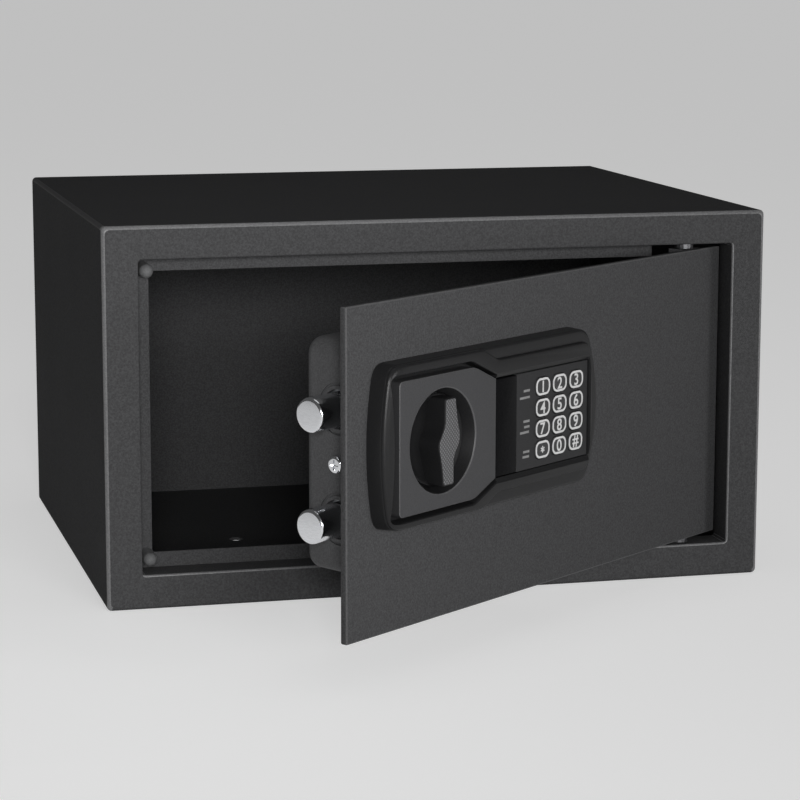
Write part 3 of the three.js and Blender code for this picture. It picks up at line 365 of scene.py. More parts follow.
def grainedFinish(name, look):
    # Paint or moulded plastic: a fine grain, a speckle of two tones and a slow drift of gloss
    scales = {"Grain Scale": look["grainScale"], "Speckle Scale": look["speckleScale"]}
    return makeFinish(name, look, powderGrain, scales, "Speckle", "Cloud", {"Specular IOR Level": look["specular"]})


def metalFinish(name, look):
    # Bare metal with fine scratches along one way
    scales = {"Scale": look["scratchScale"], "Stretch": look["stretch"]}
    return makeFinish(name, look, fineScratches, scales, "Mask", "Mask", {"Metallic": 1})


finishColumns = ("dark", "light", "roughness", "grainScale", "speckleScale", "bump", "bumpReach", "specular")
finishes = {
    "charcoalPaint": ((0.043, 0.043, 0.044), (0.066, 0.066, 0.068), (0.7, 0.8), 1500, 900, 0.35, 0.25, 0.03),
    # Lighter paint for rounded edges: wear and a painted highlight
    "rubbedAndHighlightPaint": ((0.058, 0.058, 0.059), (0.082, 0.082, 0.084), (0.55, 0.65), 1500, 900, 0.3, 0.25, 0.15),
    # Lighter paint for the lock cover and battery lid: painted light
    "paintedLightCoverPaint": ((0.072, 0.072, 0.074), (0.105, 0.105, 0.108), (0.55, 0.65), 1500, 900, 0.3, 0.25, 0.15),
    # Lighter still, for the front frame's edges: wear and a painted highlight
    "wornAndHighlightPaint": ((0.105, 0.105, 0.107), (0.16, 0.16, 0.163), (0.36, 0.46), 1500, 900, 0.2, 0.2, 0.4),
    "blackPlastic": ((0.011, 0.011, 0.0115), (0.015, 0.015, 0.0155), (0.28, 0.36), 2600, 1500, 0.14, 0.12, 0.17),
    "knobPlastic": ((0.006, 0.006, 0.0065), (0.01, 0.01, 0.0105), (0.46, 0.56), 2600, 1500, 0.18, 0.12, 0.16),
    "panelPlastic": ((0.024, 0.024, 0.025), (0.031, 0.031, 0.032), (0.5, 0.6), 2600, 1600, 0.2, 0.12, 0.1),
    "greyPlastic": ((0.041, 0.041, 0.0425), (0.054, 0.054, 0.0565), (0.5, 0.6), 2600, 1600, 0.2, 0.12, 0.15),
    # Lighter plastic for the dial plate's rounded edges: wear and a painted highlight
    "rubbedAndHighlightPlastic": ((0.06, 0.06, 0.062), (0.085, 0.085, 0.087), (0.35, 0.45), 2600, 1600, 0.1, 0.1, 0.3),
    "keyRubber": ((0.034, 0.034, 0.035), (0.044, 0.044, 0.045), (0.5, 0.6), 3000, 1800, 0.15, 0.1, 0.2),
    "smokedPlastic": ((0.003, 0.003, 0.0035), (0.005, 0.005, 0.0055), (0.12, 0.16), 900, 600, 0.02, 0.05, 0.03),
    "bumperRubber": ((0.085, 0.086, 0.088), (0.11, 0.111, 0.113), (0.6, 0.7), 2200, 1200, 0.2, 0.15, 0.3),
    "printWhite": ((0.5, 0.5, 0.5), (0.6, 0.6, 0.6), (0.5, 0.6), 3000, 2500, 0.05, 0.05, 0.2),
    "printGrey": ((0.17, 0.17, 0.17), (0.24, 0.24, 0.24), (0.5, 0.6), 3000, 2500, 0.05, 0.05, 0.2),
    "redPlastic": ((0.38, 0.015, 0.012), (0.46, 0.025, 0.02), (0.25, 0.35), 2600, 1500, 0.1, 0.1, 0.5),
    "greenPlastic": ((0.015, 0.26, 0.05), (0.025, 0.34, 0.07), (0.25, 0.35), 2600, 1500, 0.1, 0.1, 0.5),
    "boardGreen": ((0.008, 0.085, 0.035), (0.014, 0.12, 0.05), (0.35, 0.5), 700, 350, 0.2, 0.1, 0.5),
    "cellWrap": ((0.02, 0.024, 0.032), (0.032, 0.038, 0.05), (0.25, 0.35), 800, 300, 0.05, 0.05, 0.5),
}
metalColumns = ("dark", "light", "roughness", "scratchScale", "stretch", "bump", "bumpReach")
metals = {
    "brightChrome": ((0.7, 0.71, 0.73), (0.8, 0.81, 0.83), (0.1, 0.2), 240, 6, 0.05, 0.05),
    "plainSteel": ((0.3, 0.31, 0.33), (0.4, 0.41, 0.43), (0.28, 0.42), 160, 9, 0.12, 0.08),
    "dullSteel": ((0.09, 0.09, 0.095), (0.15, 0.15, 0.155), (0.42, 0.55), 160, 9, 0.12, 0.08),
    "turnedBrass": ((0.46, 0.3, 0.1), (0.56, 0.38, 0.15), (0.22, 0.36), 200, 8, 0.1, 0.06),
}
paints = {name: grainedFinish(name, dict(zip(finishColumns, row))) for name, row in finishes.items()}
paints.update({name: metalFinish(name, dict(zip(metalColumns, row))) for name, row in metals.items()})
print("finishes made")


# Cabinet
cabinetSize = {
    "width": 430, "height": 240, "depth": 350, "sheet": 2, "corner": 3, "skirt": 6, "frameSides": (22.5, 22),
    "frameEnds": (22, 21), "openingCorner": 2, "openingRound": 1.2, "lipDepth": 22, "anchorHole": 10, "anchorAt": 100,
    "pinHole": 8.8, "pinReach": 4, "backEdge": 0.8, "leastCorner": 0.5,
}
# Where the front frame's lighter edge paint reaches: wear and a painted highlight
wearAndHighlightBand = {"reach": 0.2, "jambWidth": 2, "sillDrop": 1, "sillHalf": 1.2}
halfWidth = cabinetSize["width"] / 2
openingX = (-halfWidth + cabinetSize["frameSides"][0], halfWidth - cabinetSize["frameSides"][1])
openingZ = (cabinetSize["frameEnds"][0], cabinetSize["height"] - cabinetSize["frameEnds"][1])


def bodyOutline(inset, keepCorner=False):
    half = halfWidth - inset
    radius = cabinetSize["corner"] if keepCorner else max(cabinetSize["corner"] - inset, cabinetSize["leastCorner"])
    return roundedOutline(-half, half, inset, cabinetSize["height"] - inset, radius)


def openingOutline(grow):
    radius = cabinetSize["openingCorner"] + grow
    return plateOutline({"x": openingX, "z": openingZ}, -grow, radius)


def makeFrontFrame():
    sheet, skirt, lip, corner, ease, reach = take(cabinetSize, "sheet skirt lipDepth corner openingRound pinReach")
    edge = edgeSections(0, corner, 6, lambda inset: bodyOutline(inset, True))
    skin = stackOutlines("frontFrame", [*edge, (skirt, bodyOutline(0))])
    hollow = stackOutlines("hollow", [(sheet, bodyOutline(sheet)), (skirt + 1, bodyOutline(sheet))])
    lips = stackOutlines("lips", [(sheet / 2, openingOutline(sheet)), (lip, openingOutline(sheet))])
    mouth = stackOutlines("mouth", [
        (-1, openingOutline(ease)), *edgeSections(0, ease, 4, openingOutline), (lip + 1, openingOutline(0)),
    ])
    span = (openingZ[0] - reach, openingZ[1] + reach)
    pinHole = addCylinder("pinHole", "Z", (*pivot, 0), cabinetSize["pinHole"], span, smallSides)
    obj = cut(join(cut(skin, hollow), lips), mouth, pinHole)
    finishPiece(obj, cabinetPlace, "cabinet", "charcoalPaint", ["front_frame"])
    # The lighter paint goes on the outer edges, the jamb's edge beside the door and the sill, not on the top and left
    # of the opening: wear and a painted highlight
    edge, jamb = corner + wearAndHighlightBand["reach"], openingX[1] - wearAndHighlightBand["reach"]
    sill = openingZ[0] - wearAndHighlightBand["sillDrop"]

    def takesWearAndHighlight(point):
        outside = abs(point.x) > halfWidth - edge or point.z > cabinetSize["height"] - edge
        besideDoor = jamb < point.x < jamb + wearAndHighlightBand["jambWidth"] and openingZ[0] < point.z < openingZ[1]
        underDoor = openingX[0] < point.x < openingX[1] and abs(point.z - sill) < wearAndHighlightBand["sillHalf"]
        return outside or besideDoor or underDoor
    return wearAndHighlightEdges(obj, cabinetPlace, "wornAndHighlightPaint", takesWearAndHighlight)


def makeBodyWrap():
    sheet, skirt, corner = take(cabinetSize, "sheet skirt corner")
    rear, middle = cabinetSize["depth"] - sheet, cabinetSize["depth"] / 2
    obj = stackOutlines("bodyWrap", [(skirt, bodyOutline(0)), (rear, bodyOutline(0))])
    hollow = stackOutlines("hollow", [(skirt - 1, bodyOutline(sheet)), (rear + 1, bodyOutline(sheet))])
    at, across = cabinetSize["anchorAt"], cabinetSize["anchorHole"]
    holes = [addCylinder("hole", "Z", (x, middle, 0), across, (-1, sheet + 1), smallSides) for x in (-at, at)]
    cut(obj, hollow, *holes)
    finishPiece(obj, cabinetPlace, "cabinet", "charcoalPaint", ["body_wrap"])
    # Its rounded side edges take a lighter paint: wear and a painted highlight
    return wearAndHighlightEdges(obj, cabinetPlace, "rubbedAndHighlightPaint", lambda point: abs(point.x) > halfWidth - corner)


def makeBackPanel():
    rear = cabinetSize["depth"]
    back = [(rear - depth, bodyOutline(inset)) for depth, inset in quarterRound(cabinetSize["backEdge"], 3)]
    obj = stackOutlines("backPanel", back + [(rear - cabinetSize["sheet"], bodyOutline(0))])
    return finishPiece(obj, cabinetPlace, "cabinet", "charcoalPaint", ["back_panel"])


bumperSize = {
    "diameter": 8.8, "length": 17, "inset": 6, "drop": 8, "flare": 0.4, "flareLength": 2, "domeSteps": 9.6,
    "domeRings": 10,
}


def makeBumper():
    # Drawn at the floor beside the opening; each copy is lifted to its height
    radius, x, seatAt = bumperSize["diameter"] / 2, openingX[0] + bumperSize["inset"], cabinetSize["lipDepth"]
    tip = seatAt - bumperSize["length"]
    sections = [
        (seatAt, circleOutline(x, 0, radius + bumperSize["flare"], smallSides)),
        (seatAt - bumperSize["flareLength"], circleOutline(x, 0, radius, smallSides)),
    ]
    for i in range(bumperSize["domeRings"]):
        turn = math.pi / 2 * i / bumperSize["domeSteps"]
        ring = circleOutline(x, 0, radius * math.cos(turn), smallSides)
        sections.append((tip + radius - radius * math.sin(turn), ring))
    return stackOutlines("bumperUpper", sections)


makeFrontFrame()
makeBodyWrap()
makeBackPanel()
bumper = makeBumper()
for obj, node, z in (
    (bumper, "bumper_upper", openingZ[1] - bumperSize["drop"]),
    (copyPiece(bumper, "bumperLower"), "bumper_lower", openingZ[0] + bumperSize["drop"]),
):
    finishPiece(obj, cabinetPlace @ lift(z), "cabinet", "bumperRubber", [node])
print("cabinet made")


# Door plate
doorSize = {"x": (-190.5, 189.7), "z": (26.5, 215.5), "thickness": 4.5, "edge": 0.8, "corner": 1}


def makeDoorPlate():
    front = edgeSections(0, doorSize["edge"], 3, lambda inset: plateOutline(doorSize, inset, doorSize["corner"]))
    rear = [(doorSize["thickness"] - depth, points) for depth, points in reversed(front)]
    obj = stackOutlines("doorPlate", front + rear)
    finishPiece(obj, doorPlace, "door", "charcoalPaint", ["door_panel"])
    # Its rounded edges take a lighter paint: wear and a painted highlight
    return wearAndHighlightEdges(obj, doorPlace, "rubbedAndHighlightPaint")


makeDoorPlate()
print("door plate made")


# Lock housing and dial plate
housingSize = {
    "x": (-173.5, 35.8), "z": (87, 181.6), "bows": (4, 7), "corner": 9, "draft": 0.6, "edge": 1.6, "shoulder": 10.8,
    "rim": 13.5, "rimInset": 0.2, "rimEdge": 1.1, "crown": 7.5, "crownDrop": 3, "rimPastKeypad": 4,
    "endBow": 2.6, "endCorner": 6, "stepPastCut": 7.3, "stepDrop": 7.2, "stepLength": 14, "stepEase": 2.5,
    "stepFollow": 0.3, "floor": 4, "seat": 0.3, "crownCurve": 1.4,
}
moatSize = {
    "left": 8.2, "bow": 2.9, "above": 3.8, "below": 2.6, "atCut": 1.8, "corner": 5, "ease": 3,
    "mouth": ((-1, 0.6), (0, 0.6), (0.3, 0.25), (0.8, 0)), "foot": -0.3,
}
dialSize = {
    "x": (-159, -69.6), "z": (94.5, 171.5), "corner": 3, "cutLength": 20.2, "cutDrop": 9.3, "ease": 4, "front": 12.3,
    "edge": 0.7, "mouth": ((-1, 0.6), (0, 0.6), (0.2, 0.2), (0.6, -0.1)), "wellEdge": 0.2, "faceOn": 0.97,
    "sideOn": 0.3,
}
knobSize = {
    "centre": (-119.5, 133), "well": 60.5, "diameter": 53, "hole": 53.8, "floor": 0.6, "rim": 5.4, "grip": 16.2,
    "length": 50, "endLead": 6, "endTrail": 4.2, "middleHalf": 10.6, "shoulder": 13, "edge": 0.7,
    "gripFlare": 0.25,
}
keypadSize = {
    "x": (-49, 23), "z": (104, 162), "front": 12, "gap": 0.6, "endGap": 1.2, "bevel": 3.4, "endBevel": 1.8,
    "rear": 9.6, "corner": 1, "bevelCorner": 2, "bevelFoot": 0.4,
}


def cornerLean(bow, corner, z0, z1):
    # How far a bowed end moves in where its corner starts
    return 2 * bow * corner / ((z1 - z0) / 2 - corner)


def bowedOutline(inset, steps=10, bow=24):
    x0, x1 = housingSize["x"][0] + inset, housingSize["x"][1] - inset
    z0, z1 = housingSize["z"][0] + inset, housingSize["z"][1] - inset
    bows, corner, middle = housingSize["bows"], housingSize["corner"], (z0 + z1) / 2
    left, right = x0 + bows[0], x1 - bows[1]
    leanLeft, leanRight = (cornerLean(amount, corner, z0, z1) for amount in bows)
    cornerLeft, cornerRight = left + leanLeft, right - leanRight
    return drawOutline(
        (cornerLeft + corner, z0), (cornerRight - corner, z0),
        ((cornerRight, z0), (right, z0 + corner), steps), ((x1 + bows[1], middle), (right, z1 - corner), bow),
        ((cornerRight, z1), (cornerRight - corner, z1), steps), (cornerLeft + corner, z1),
        ((cornerLeft, z1), (left, z1 - corner), steps), ((x0 - bows[0], middle), (left, z0 + corner), bow),
        ((cornerLeft, z0), (cornerLeft + corner, z0), steps),
    )[:-1]


def rimOutline(inset, leftInset=0, steps=8, bow=20):
    # Anticlockwise from the lower left; the step beside the keypad is eased where it starts and ends
    extra = housingSize["draft"] + housingSize["rimInset"] + inset
    x0, x1 = housingSize["x"][0] + extra + leftInset, keypadSize["x"][1] + housingSize["rimPastKeypad"] - inset
    z0, z1 = housingSize["z"][0] + extra, housingSize["z"][1] - extra
    middle, bowLeft = (z0 + z1) / 2, housingSize["bows"][0]
    endBow, corner, drop, end, ease = take(housingSize, "endBow corner stepDrop endCorner stepEase")
    low, high = z0 + drop, z1 - drop
    left, right = x0 + bowLeft, x1 - endBow
    lean, endLean = left + cornerLean(bowLeft, corner, z0, z1), right - cornerLean(endBow, end, low, high)
    step = dialSize["x"][1] - dialSize["cutLength"] + housingSize["stepPastCut"] - inset * housingSize["stepFollow"]
    foot, rise = step + housingSize["stepLength"], ease * drop / housingSize["stepLength"]
    return drawOutline(
        (lean + corner, z0), (step - ease, z0), ((step, z0), (step + ease, z0 + rise), 4),
        (foot - ease, low - rise), ((foot, low), (foot + ease, low), 4), (endLean - end, low),
        ((endLean, low), (right, low + end), steps), ((x1 + endBow, middle), (right, high - end), bow),
        ((endLean, high), (endLean - end, high), steps), (foot + ease, high),
        ((foot, high), (foot - ease, high + rise), 4), (step + ease, z1 - rise),
        ((step, z1), (step - ease, z1), 4), (lean + corner, z1), ((lean, z1), (left, z1 - corner), steps),
        ((x0 - bowLeft, middle), (left, z0 + corner), bow), ((lean, z0), (lean + corner, z0), steps),
    )[:-1]


def dialOutline(grow, steps=8):
    length, drop, ease = take(dialSize, "cutLength cutDrop ease")
    slope = math.hypot(length, drop)
    cutX = dialSize["x"][1] - length + grow * (slope - length) / drop
    cutZ = drop - grow * (slope - drop) / length
    low, high = dialSize["z"][0] + cutZ, dialSize["z"][1] - cutZ
    (x0, x1), (z0, z1) = ((start - grow, end + grow) for start, end in (dialSize["x"], dialSize["z"]))
    radius = dialSize["corner"] + grow
    along, up = ease * (x1 - cutX) / slope, ease * (low - z0) / slope
    return drawOutline(
        (x0 + radius, z0), (cutX - ease, z0), ((cutX, z0), (cutX + along, z0 + up), 6), (x1, low), (x1, high),
        (cutX + along, z1 - up), ((cutX, z1), (cutX - ease, z1), 6),
        *arc(x0 + radius, z1 - radius, radius, 90, 180, steps),
        *arc(x0 + radius, z0 + radius, radius, 180, 270, steps)[:-1],
    )


def moatOutline(grow, steps=8, bow=16):
    # The moat round the dial plate, its left side bowed in towards the plate
    below, above, corner, ease = take(moatSize, "below above corner ease")
    steep = dialSize["cutDrop"] / dialSize["cutLength"]
    slope = math.hypot(1, steep)
    rise = (moatSize["atCut"] + grow) * slope
    start = dialSize["x"][1] - dialSize["cutLength"]
    x0, x1 = dialSize["x"][0] - moatSize["left"] - grow, dialSize["x"][1] + housingSize["seat"]
    z0, z1 = dialSize["z"][0] - below - grow, dialSize["z"][1] + above + grow
    lowX, highX = start - (below + grow - rise) / steep, start - (above + grow - rise) / steep
    low, high = dialSize["z"][0] + dialSize["cutDrop"] - rise, dialSize["z"][1] - dialSize["cutDrop"] + rise
    along, up = ease / slope, ease * steep / slope
    return drawOutline(
        (x0 + corner, z0), (lowX - ease, z0), ((lowX, z0), (lowX + along, z0 + up), 5), (x1, low), (x1, high),
        (highX + along, z1 - up), ((highX, z1), (highX - ease, z1), 5), (x0 + corner, z1),
        ((x0, z1), (x0, z1 - corner), steps),
        ((x0 + 2 * moatSize["bow"], (z0 + z1) / 2), (x0, z0 + corner), bow), ((x0, z0), (x0 + corner, z0), steps),
    )[:-1]


def keypadOutline(left, end, beside, radius):
    return roundedOutline(
        left, keypadSize["x"][1] + end, keypadSize["z"][0] - beside, keypadSize["z"][1] + beside, radius, 6
    )


def makeHousing():
    shoulder, rim, floor = (-housingSize[key] for key in ("shoulder", "rim", "floor"))
    edge = edgeSections(shoulder, housingSize["edge"], 5, lambda inset: bowedOutline(housingSize["draft"] + inset))
    body = stackOutlines("lockHousing", [*edge, (-housingSize["seat"], bowedOutline(0))])
    rimEdge = []
    for i, (depth, inset) in enumerate(quarterRound(housingSize["rimEdge"], 8)):
        # The left end is crowned: it falls away over a wider band than the other edges
        crown = housingSize["crown"] * (1 - math.sin(math.pi / 16 * i)) ** housingSize["crownCurve"]
        rimEdge.append((rim + depth * housingSize["crownDrop"], rimOutline(inset, crown)))
    raised = stackOutlines("rim", [*rimEdge, (shoulder + housingSize["edge"], rimOutline(0))])
    mouth = [(rim + depth, moatOutline(grow)) for depth, grow in moatSize["mouth"]]
    moat = stackOutlines("moat", [*mouth, (floor, moatOutline(moatSize["foot"]))])
    gap, bevel, endBevel, endGap, corner, bevelCorner = take(keypadSize, "gap bevel endBevel endGap corner bevelCorner")
    right, foot = dialSize["x"][1], -keypadSize["front"] + keypadSize["bevelFoot"]
    straight = keypadOutline(right, endGap, gap, corner)
    sloped = keypadOutline(right - bevel, endBevel, bevel, bevelCorner)
    pocket = stackOutlines("keypadPocket", [(rim - 1, straight), (floor, straight)])
    slope = stackOutlines("slope", [
        (rim - 1, sloped), (rim, sloped), (foot, keypadOutline(right - bevel, endGap, gap, corner)),
    ])
    x, z = knobSize["centre"]
    knobHole = addCylinder("knobHole", "Y", (x, 0, z), knobSize["hole"], (rim, 1), largeSides)
    obj = cut(join(body, raised), moat, pocket, slope, knobHole)
    return finishPiece(obj, doorPlace, "door", "blackPlastic", ["lock_housing"], 25)


def makeDialPlate():
    front, rear = -dialSize["front"], -housingSize["floor"] - housingSize["seat"]
    edge = edgeSections(front, dialSize["edge"], 4, lambda inset: dialOutline(-inset))
    obj = stackOutlines("dialPlate", [*edge, (rear, dialOutline(0))])
    x, z = knobSize["centre"]
    mouth, hole = knobSize["well"] / 2, knobSize["hole"] / 2
    wall = [(front + depth, mouth + grow) for depth, grow in dialSize["mouth"]] + [(rear, hole), (rear + 1, hole)]
    cut(obj, stackOutlines("well", [(depth, circleOutline(x, z, radius)) for depth, radius in wall]))
    finishPiece(obj, doorPlace, "door", "greyPlastic", ["dial_plate"], 25)
    for name in ("knobPlastic", "panelPlastic", "rubbedAndHighlightPlastic"):
        obj.data.materials.append(paints[name])
    # The face keeps its grey; the well takes the knob's plastic, the side walls a darker plastic as painted shade in
    # the moat, and the rubbed edges a lighter one as wear and a painted highlight
    well, sides, rubbedAndHighlit = 1, 2, 3
    centre = doorPlace @ Vector((x, 0, z))
    outward = (doorPlace.to_3x3() @ Vector((0, -1, 0))).normalized()
    for face in obj.data.polygons:
        reach = face.center - centre
        reach -= outward * reach.dot(outward)
        facing = face.normal.dot(outward)
        if facing > dialSize["faceOn"]:
            continue
        if reach.length < (mouth - dialSize["wellEdge"]) * mm:
            face.material_index = well
        else:
            # Side walls take the darker plastic as painted shade; rounded edges the lighter one as wear and a painted
            # highlight
            face.material_index = sides if facing < dialSize["sideOn"] else rubbedAndHighlit
    return obj


makeHousing()
makeDialPlate()
print("lock housing made")


# Knob with its S-shaped grip
def gripOutline(inset):
    half = knobSize["length"] / 2 - inset
    lead, trail, swell = (knobSize[key] - inset for key in ("endLead", "endTrail", "middleHalf"))
    rise = knobSize["shoulder"]
    run = drawOutline(
        (lead - 1.2, half), ((lead, half), (lead + 0.1, half - 1.2), 4),
        ((lead + 1.2, rise), (swell * 0.87, rise * 0.46), 10),
        ((swell, rise * 0.15), (swell * 0.85, rise * -0.15), 8),
        ((trail + 1, rise * -0.54), (trail, rise * -0.85), 8), (trail, 1.4 - half),
        ((trail, -half), (trail - 1.4, -half), 5),
    )
    return [(sign * x, sign * z) for sign in (1, -1) for x, z in run]


def makeKnob():
    x, z = knobSize["centre"]
    radius, rim, back = knobSize["diameter"] / 2, knobSize["rim"], -knobSize["floor"]
    profile = (
        (0, radius - 0.4), (0.4, radius), (rim - 1, radius), (rim - 0.5, radius - 0.15), (rim - 0.1, radius - 0.5),
        (rim, radius - 1.0), (rim - 0.1, radius - 1.7), (rim - 0.6, radius - 2.5), (4.1, radius - 3.6),
        (3.4, radius - 5.2), (2.8, radius - 7.4), (2.4, radius - 10), (2.15, radius - 13.5), (2.0, radius - 18),
        (2.0, 2),
    )
    dish = stackOutlines("knob", [(back - height, circleOutline(x, z, across)) for height, across in profile])

    def outline(inset):
        return [(x + px, z + pz) for px, pz in gripOutline(inset)]
    edge = edgeSections(back - knobSize["grip"], knobSize["edge"], 3, outline)
    return join(dish, stackOutlines("grip", [*edge, (back - 1, outline(-knobSize["gripFlare"]))]))


gripPad = {
    "dark": (0.028, 0.028, 0.029), "light": (0.16, 0.16, 0.165), "pitch": 1.7, "bump": 0.4, "bumpReach": 0.2,
    "roughness": 0.5, "specular": 0.2,
}


def gripPadFinish():
    # Fine diamonds between grooves that run along both diagonals of the grip; the grooves are darkened as painted shade
    material, tree, shader = startMaterial("gripPad")
    place, ridges = objectPlace(tree), {}
    for i, side in enumerate((1, -1)):
        across = (doorPlace.to_3x3() @ Vector((1, 0, side))).normalized()
        direction = tuple(across * math.pi / (gripPad["pitch"] * mm))
        along = addNode(tree, "VectorMath", {0: place, 1: direction}, operation="DOT_PRODUCT")
        wave = addNode(tree, "Math", {0: along["Value"]}, operation="SINE")
        ridges[i] = addNode(tree, "Math", {0: wave[0]}, operation="ABSOLUTE")[0]
    height = addNode(tree, "Math", ridges, operation="MINIMUM")[0]
    values = {"Specular IOR Level": gripPad["specular"]}
    # The groove depth sets the tone as well as the bump, so the grooves darken: painted shade
    dressShader(tree, shader, gripPad, height, gripPad["roughness"], height, values)
    return material


knob = makeKnob()
finishPiece(knob, doorPlace, "knob", "knobPlastic", ["knob"], 30)
knob.data.materials.append(gripPadFinish())
gripTop = -knobSize["floor"] - knobSize["grip"]
shut = doorPlace.inverted()
for face in knob.data.polygons:
    face.material_index = int(near((shut @ face.center).y, gripTop))
print("knob made")


# Keypad, its window, keys and printed marks
keySize = {
    "width": 14.6, "height": 10.9, "corner": 4.6, "pitchX": 17, "pitchZ": 12.6, "last": 10.1, "middle": 133,
    "proud": 0.8, "clearance": 0.35, "ringInset": 0.3, "ringWidth": 1.3, "printHeight": 0.08, "digit": 9.8, "star": 8.5,
    "boldness": 0.15, "printSink": 0.02, "holeEase": 0.15, "edge": 0.5, "dashHeight": 0.06, "dashHalf": 0.7,
}
digitStretch = (1.05, 1, 0.6)
panelEdge = {"corner": 0.7, "round": 0.3}
keyRows = [["1", "2", "3"], ["4", "5", "6"], ["7", "8", "9"], ["star", "0", "hash"]]
windowSize = {"x": (-69.3, -49.3), "z": (104.3, 161.7), "front": 12, "rear": 6.2, "pane": 1.6, "wall": 2.5}


def keyCentre(column, row):
    return (
        keySize["last"] - (2 - column) * keySize["pitchX"],
        keySize["middle"] + (1.5 - row) * keySize["pitchZ"],
    )


def keyOutline(grow, steps=8):
    halfX, halfZ = keySize["width"] / 2 + grow, keySize["height"] / 2 + grow
    return roundedOutline(-halfX, halfX, -halfZ, halfZ, keySize["corner"] + grow, steps)


def softPanel(name, size, front, rear):
    def outline(inset):
        return plateOutline(size, inset, panelEdge["corner"], 4)
    return stackOutlines(name, [*edgeSections(front, panelEdge["round"], 2, outline), (rear, outline(0))])


def makeKeypadPanel():
    front, rear = -keypadSize["front"], -keypadSize["rear"]
    obj = softPanel("keypadPanel", keypadSize, front, rear)
    clear, ease = keySize["clearance"], keySize["holeEase"]
    hole = stackOutlines("hole", [
        (front - 1, keyOutline(clear + ease)), (front, keyOutline(clear + ease)),
        (front + ease, keyOutline(clear)), (rear + 1, keyOutline(clear)),
    ])
    for row in range(4):
        for column in range(3):
            x, z = keyCentre(column, row)
            one = copyPiece(hole, "keyHole")
            one.data.transform(lift(z, x))
            cut(obj, one)
    bpy.data.objects.remove(hole)
    return finishPiece(obj, doorPlace, "door", "panelPlastic", ["keypad_panel"])


def makeWindow():
    front, rear, wall = -windowSize["front"], -windowSize["rear"], windowSize["wall"]
    obj = softPanel("statusWindow", windowSize, front, rear)
    (x0, x1), (z0, z1) = windowSize["x"], windowSize["z"]
    cut(obj, addBox("hollow", (x0 + wall, x1 - wall), (front + windowSize["pane"], rear + 1), (z0 + wall, z1 - wall)))
    return finishPiece(obj, doorPlace, "door", "smokedPlastic", ["status_window"])


keyFace = -keypadSize["front"] - keySize["proud"]


def makeKey():
    edge = edgeSections(keyFace, keySize["edge"], 4, lambda inset: keyOutline(-inset))
    return stackOutlines("keyShape", [*edge, (-keypadSize["rear"], keyOutline(0))])


def makeRing():
    top = keyFace - keySize["printHeight"]
    outer = keyOutline(-keySize["ringInset"])
    inner = keyOutline(-keySize["ringInset"] - keySize["ringWidth"])
    return cut(
        stackOutlines("ring", [(top, outer), (keyFace + keySize["printSink"], outer)]),
        stackOutlines("inner", [(top - 1, inner), (keyFace + 1, inner)]),
    )


def makeDigit(label):
    deselectAll()
    bpy.ops.object.text_add()
    text = bpy.context.object
    text.data.body = {"star": "*", "hash": "#"}.get(label, label)
    text.data.size = keySize["star" if label == "star" else "digit"]
    text.data.align_x = text.data.align_y = "CENTER"
    text.data.offset = keySize["boldness"]
    text.data.extrude = keySize["printHeight"]
    bpy.ops.object.convert(target="MESH")
    digit = bpy.context.object
    low, high = ([pick(vert.co[i] for vert in digit.data.vertices) for i in range(3)] for pick in (min, max))
    middle = Matrix.Translation([-(a + b) / 2 for a, b in zip(low, high)])
    stretch = Matrix.Diagonal((*digitStretch, 1))
    face = Matrix.Translation((0, keyFace, 0))
    digit.data.transform(face @ Matrix.Rotation(math.pi / 2, 4, "X") @ stretch @ middle)
    return digit


def makeLabelMarks():
    # Each mark is a short printed dash: left, right and height on the keypad
    front, half = -keypadSize["front"], keySize["dashHalf"]
    depth = (front - keySize["dashHeight"], front + keySize["printSink"])
    dashes = (
        (-42.4, -36.3, 151.2), (-46.1, -36.3, 147.2), (-42.4, -36.3, 133.0), (-41.6, -36.3, 129.7),
        (-45.7, -36.9, 126.5), (-42.4, -36.3, 114.8), (-43.0, -36.5, 111.8),
    )
    marks = [addBox("mark", (left, right), depth, (z - half, z + half)) for left, right, z in dashes]
    obj = group("labelMarks", marks)
    return finishPiece(obj, doorPlace, "door", "printGrey")


makeKeypadPanel()
makeWindow()
makeLabelMarks()
firstKey, firstRing = makeKey(), makeRing()
for row, labels in enumerate(keyRows):
    for column, label in enumerate(labels):
        x, z = keyCentre(column, row)
        place = doorPlace @ lift(z, x)
        key = copyPiece(firstKey, f"key{label.capitalize()}")
        finishPiece(key, place, f"key_{label}", "keyRubber", [f"key_{label}"])
        ring = copyPiece(firstRing, "ring")
        mark = group(f"print{label.capitalize()}", [ring, makeDigit(label)])
        finishPiece(mark, place, f"key_{label}", "printWhite")
for spare in (firstKey, firstRing):
    bpy.data.objects.remove(spare)
print("keypad made")


# Bolts
boltSize = {"diameter": 20, "x": (-181, -103), "heights": (150.75, 87.25), "depth": 35, "edge": 1.9}


def makeBolt():
    obj = addCylinder("boltUpper", "X", (0, boltSize["depth"], 0), boltSize["diameter"], boltSize["x"], largeSides)
    return bevelEdges(obj, lambda end: near(end.x, boltSize["x"][0]), boltSize["edge"], 4)


bolt = makeBolt()
for obj, node, z in zip((bolt, copyPiece(bolt, "boltLower")), ("bolt_upper", "bolt_lower"), boltSize["heights"]):
    finishPiece(obj, doorPlace @ lift(z), "bolts", "brightChrome", [node])
print("bolts made")


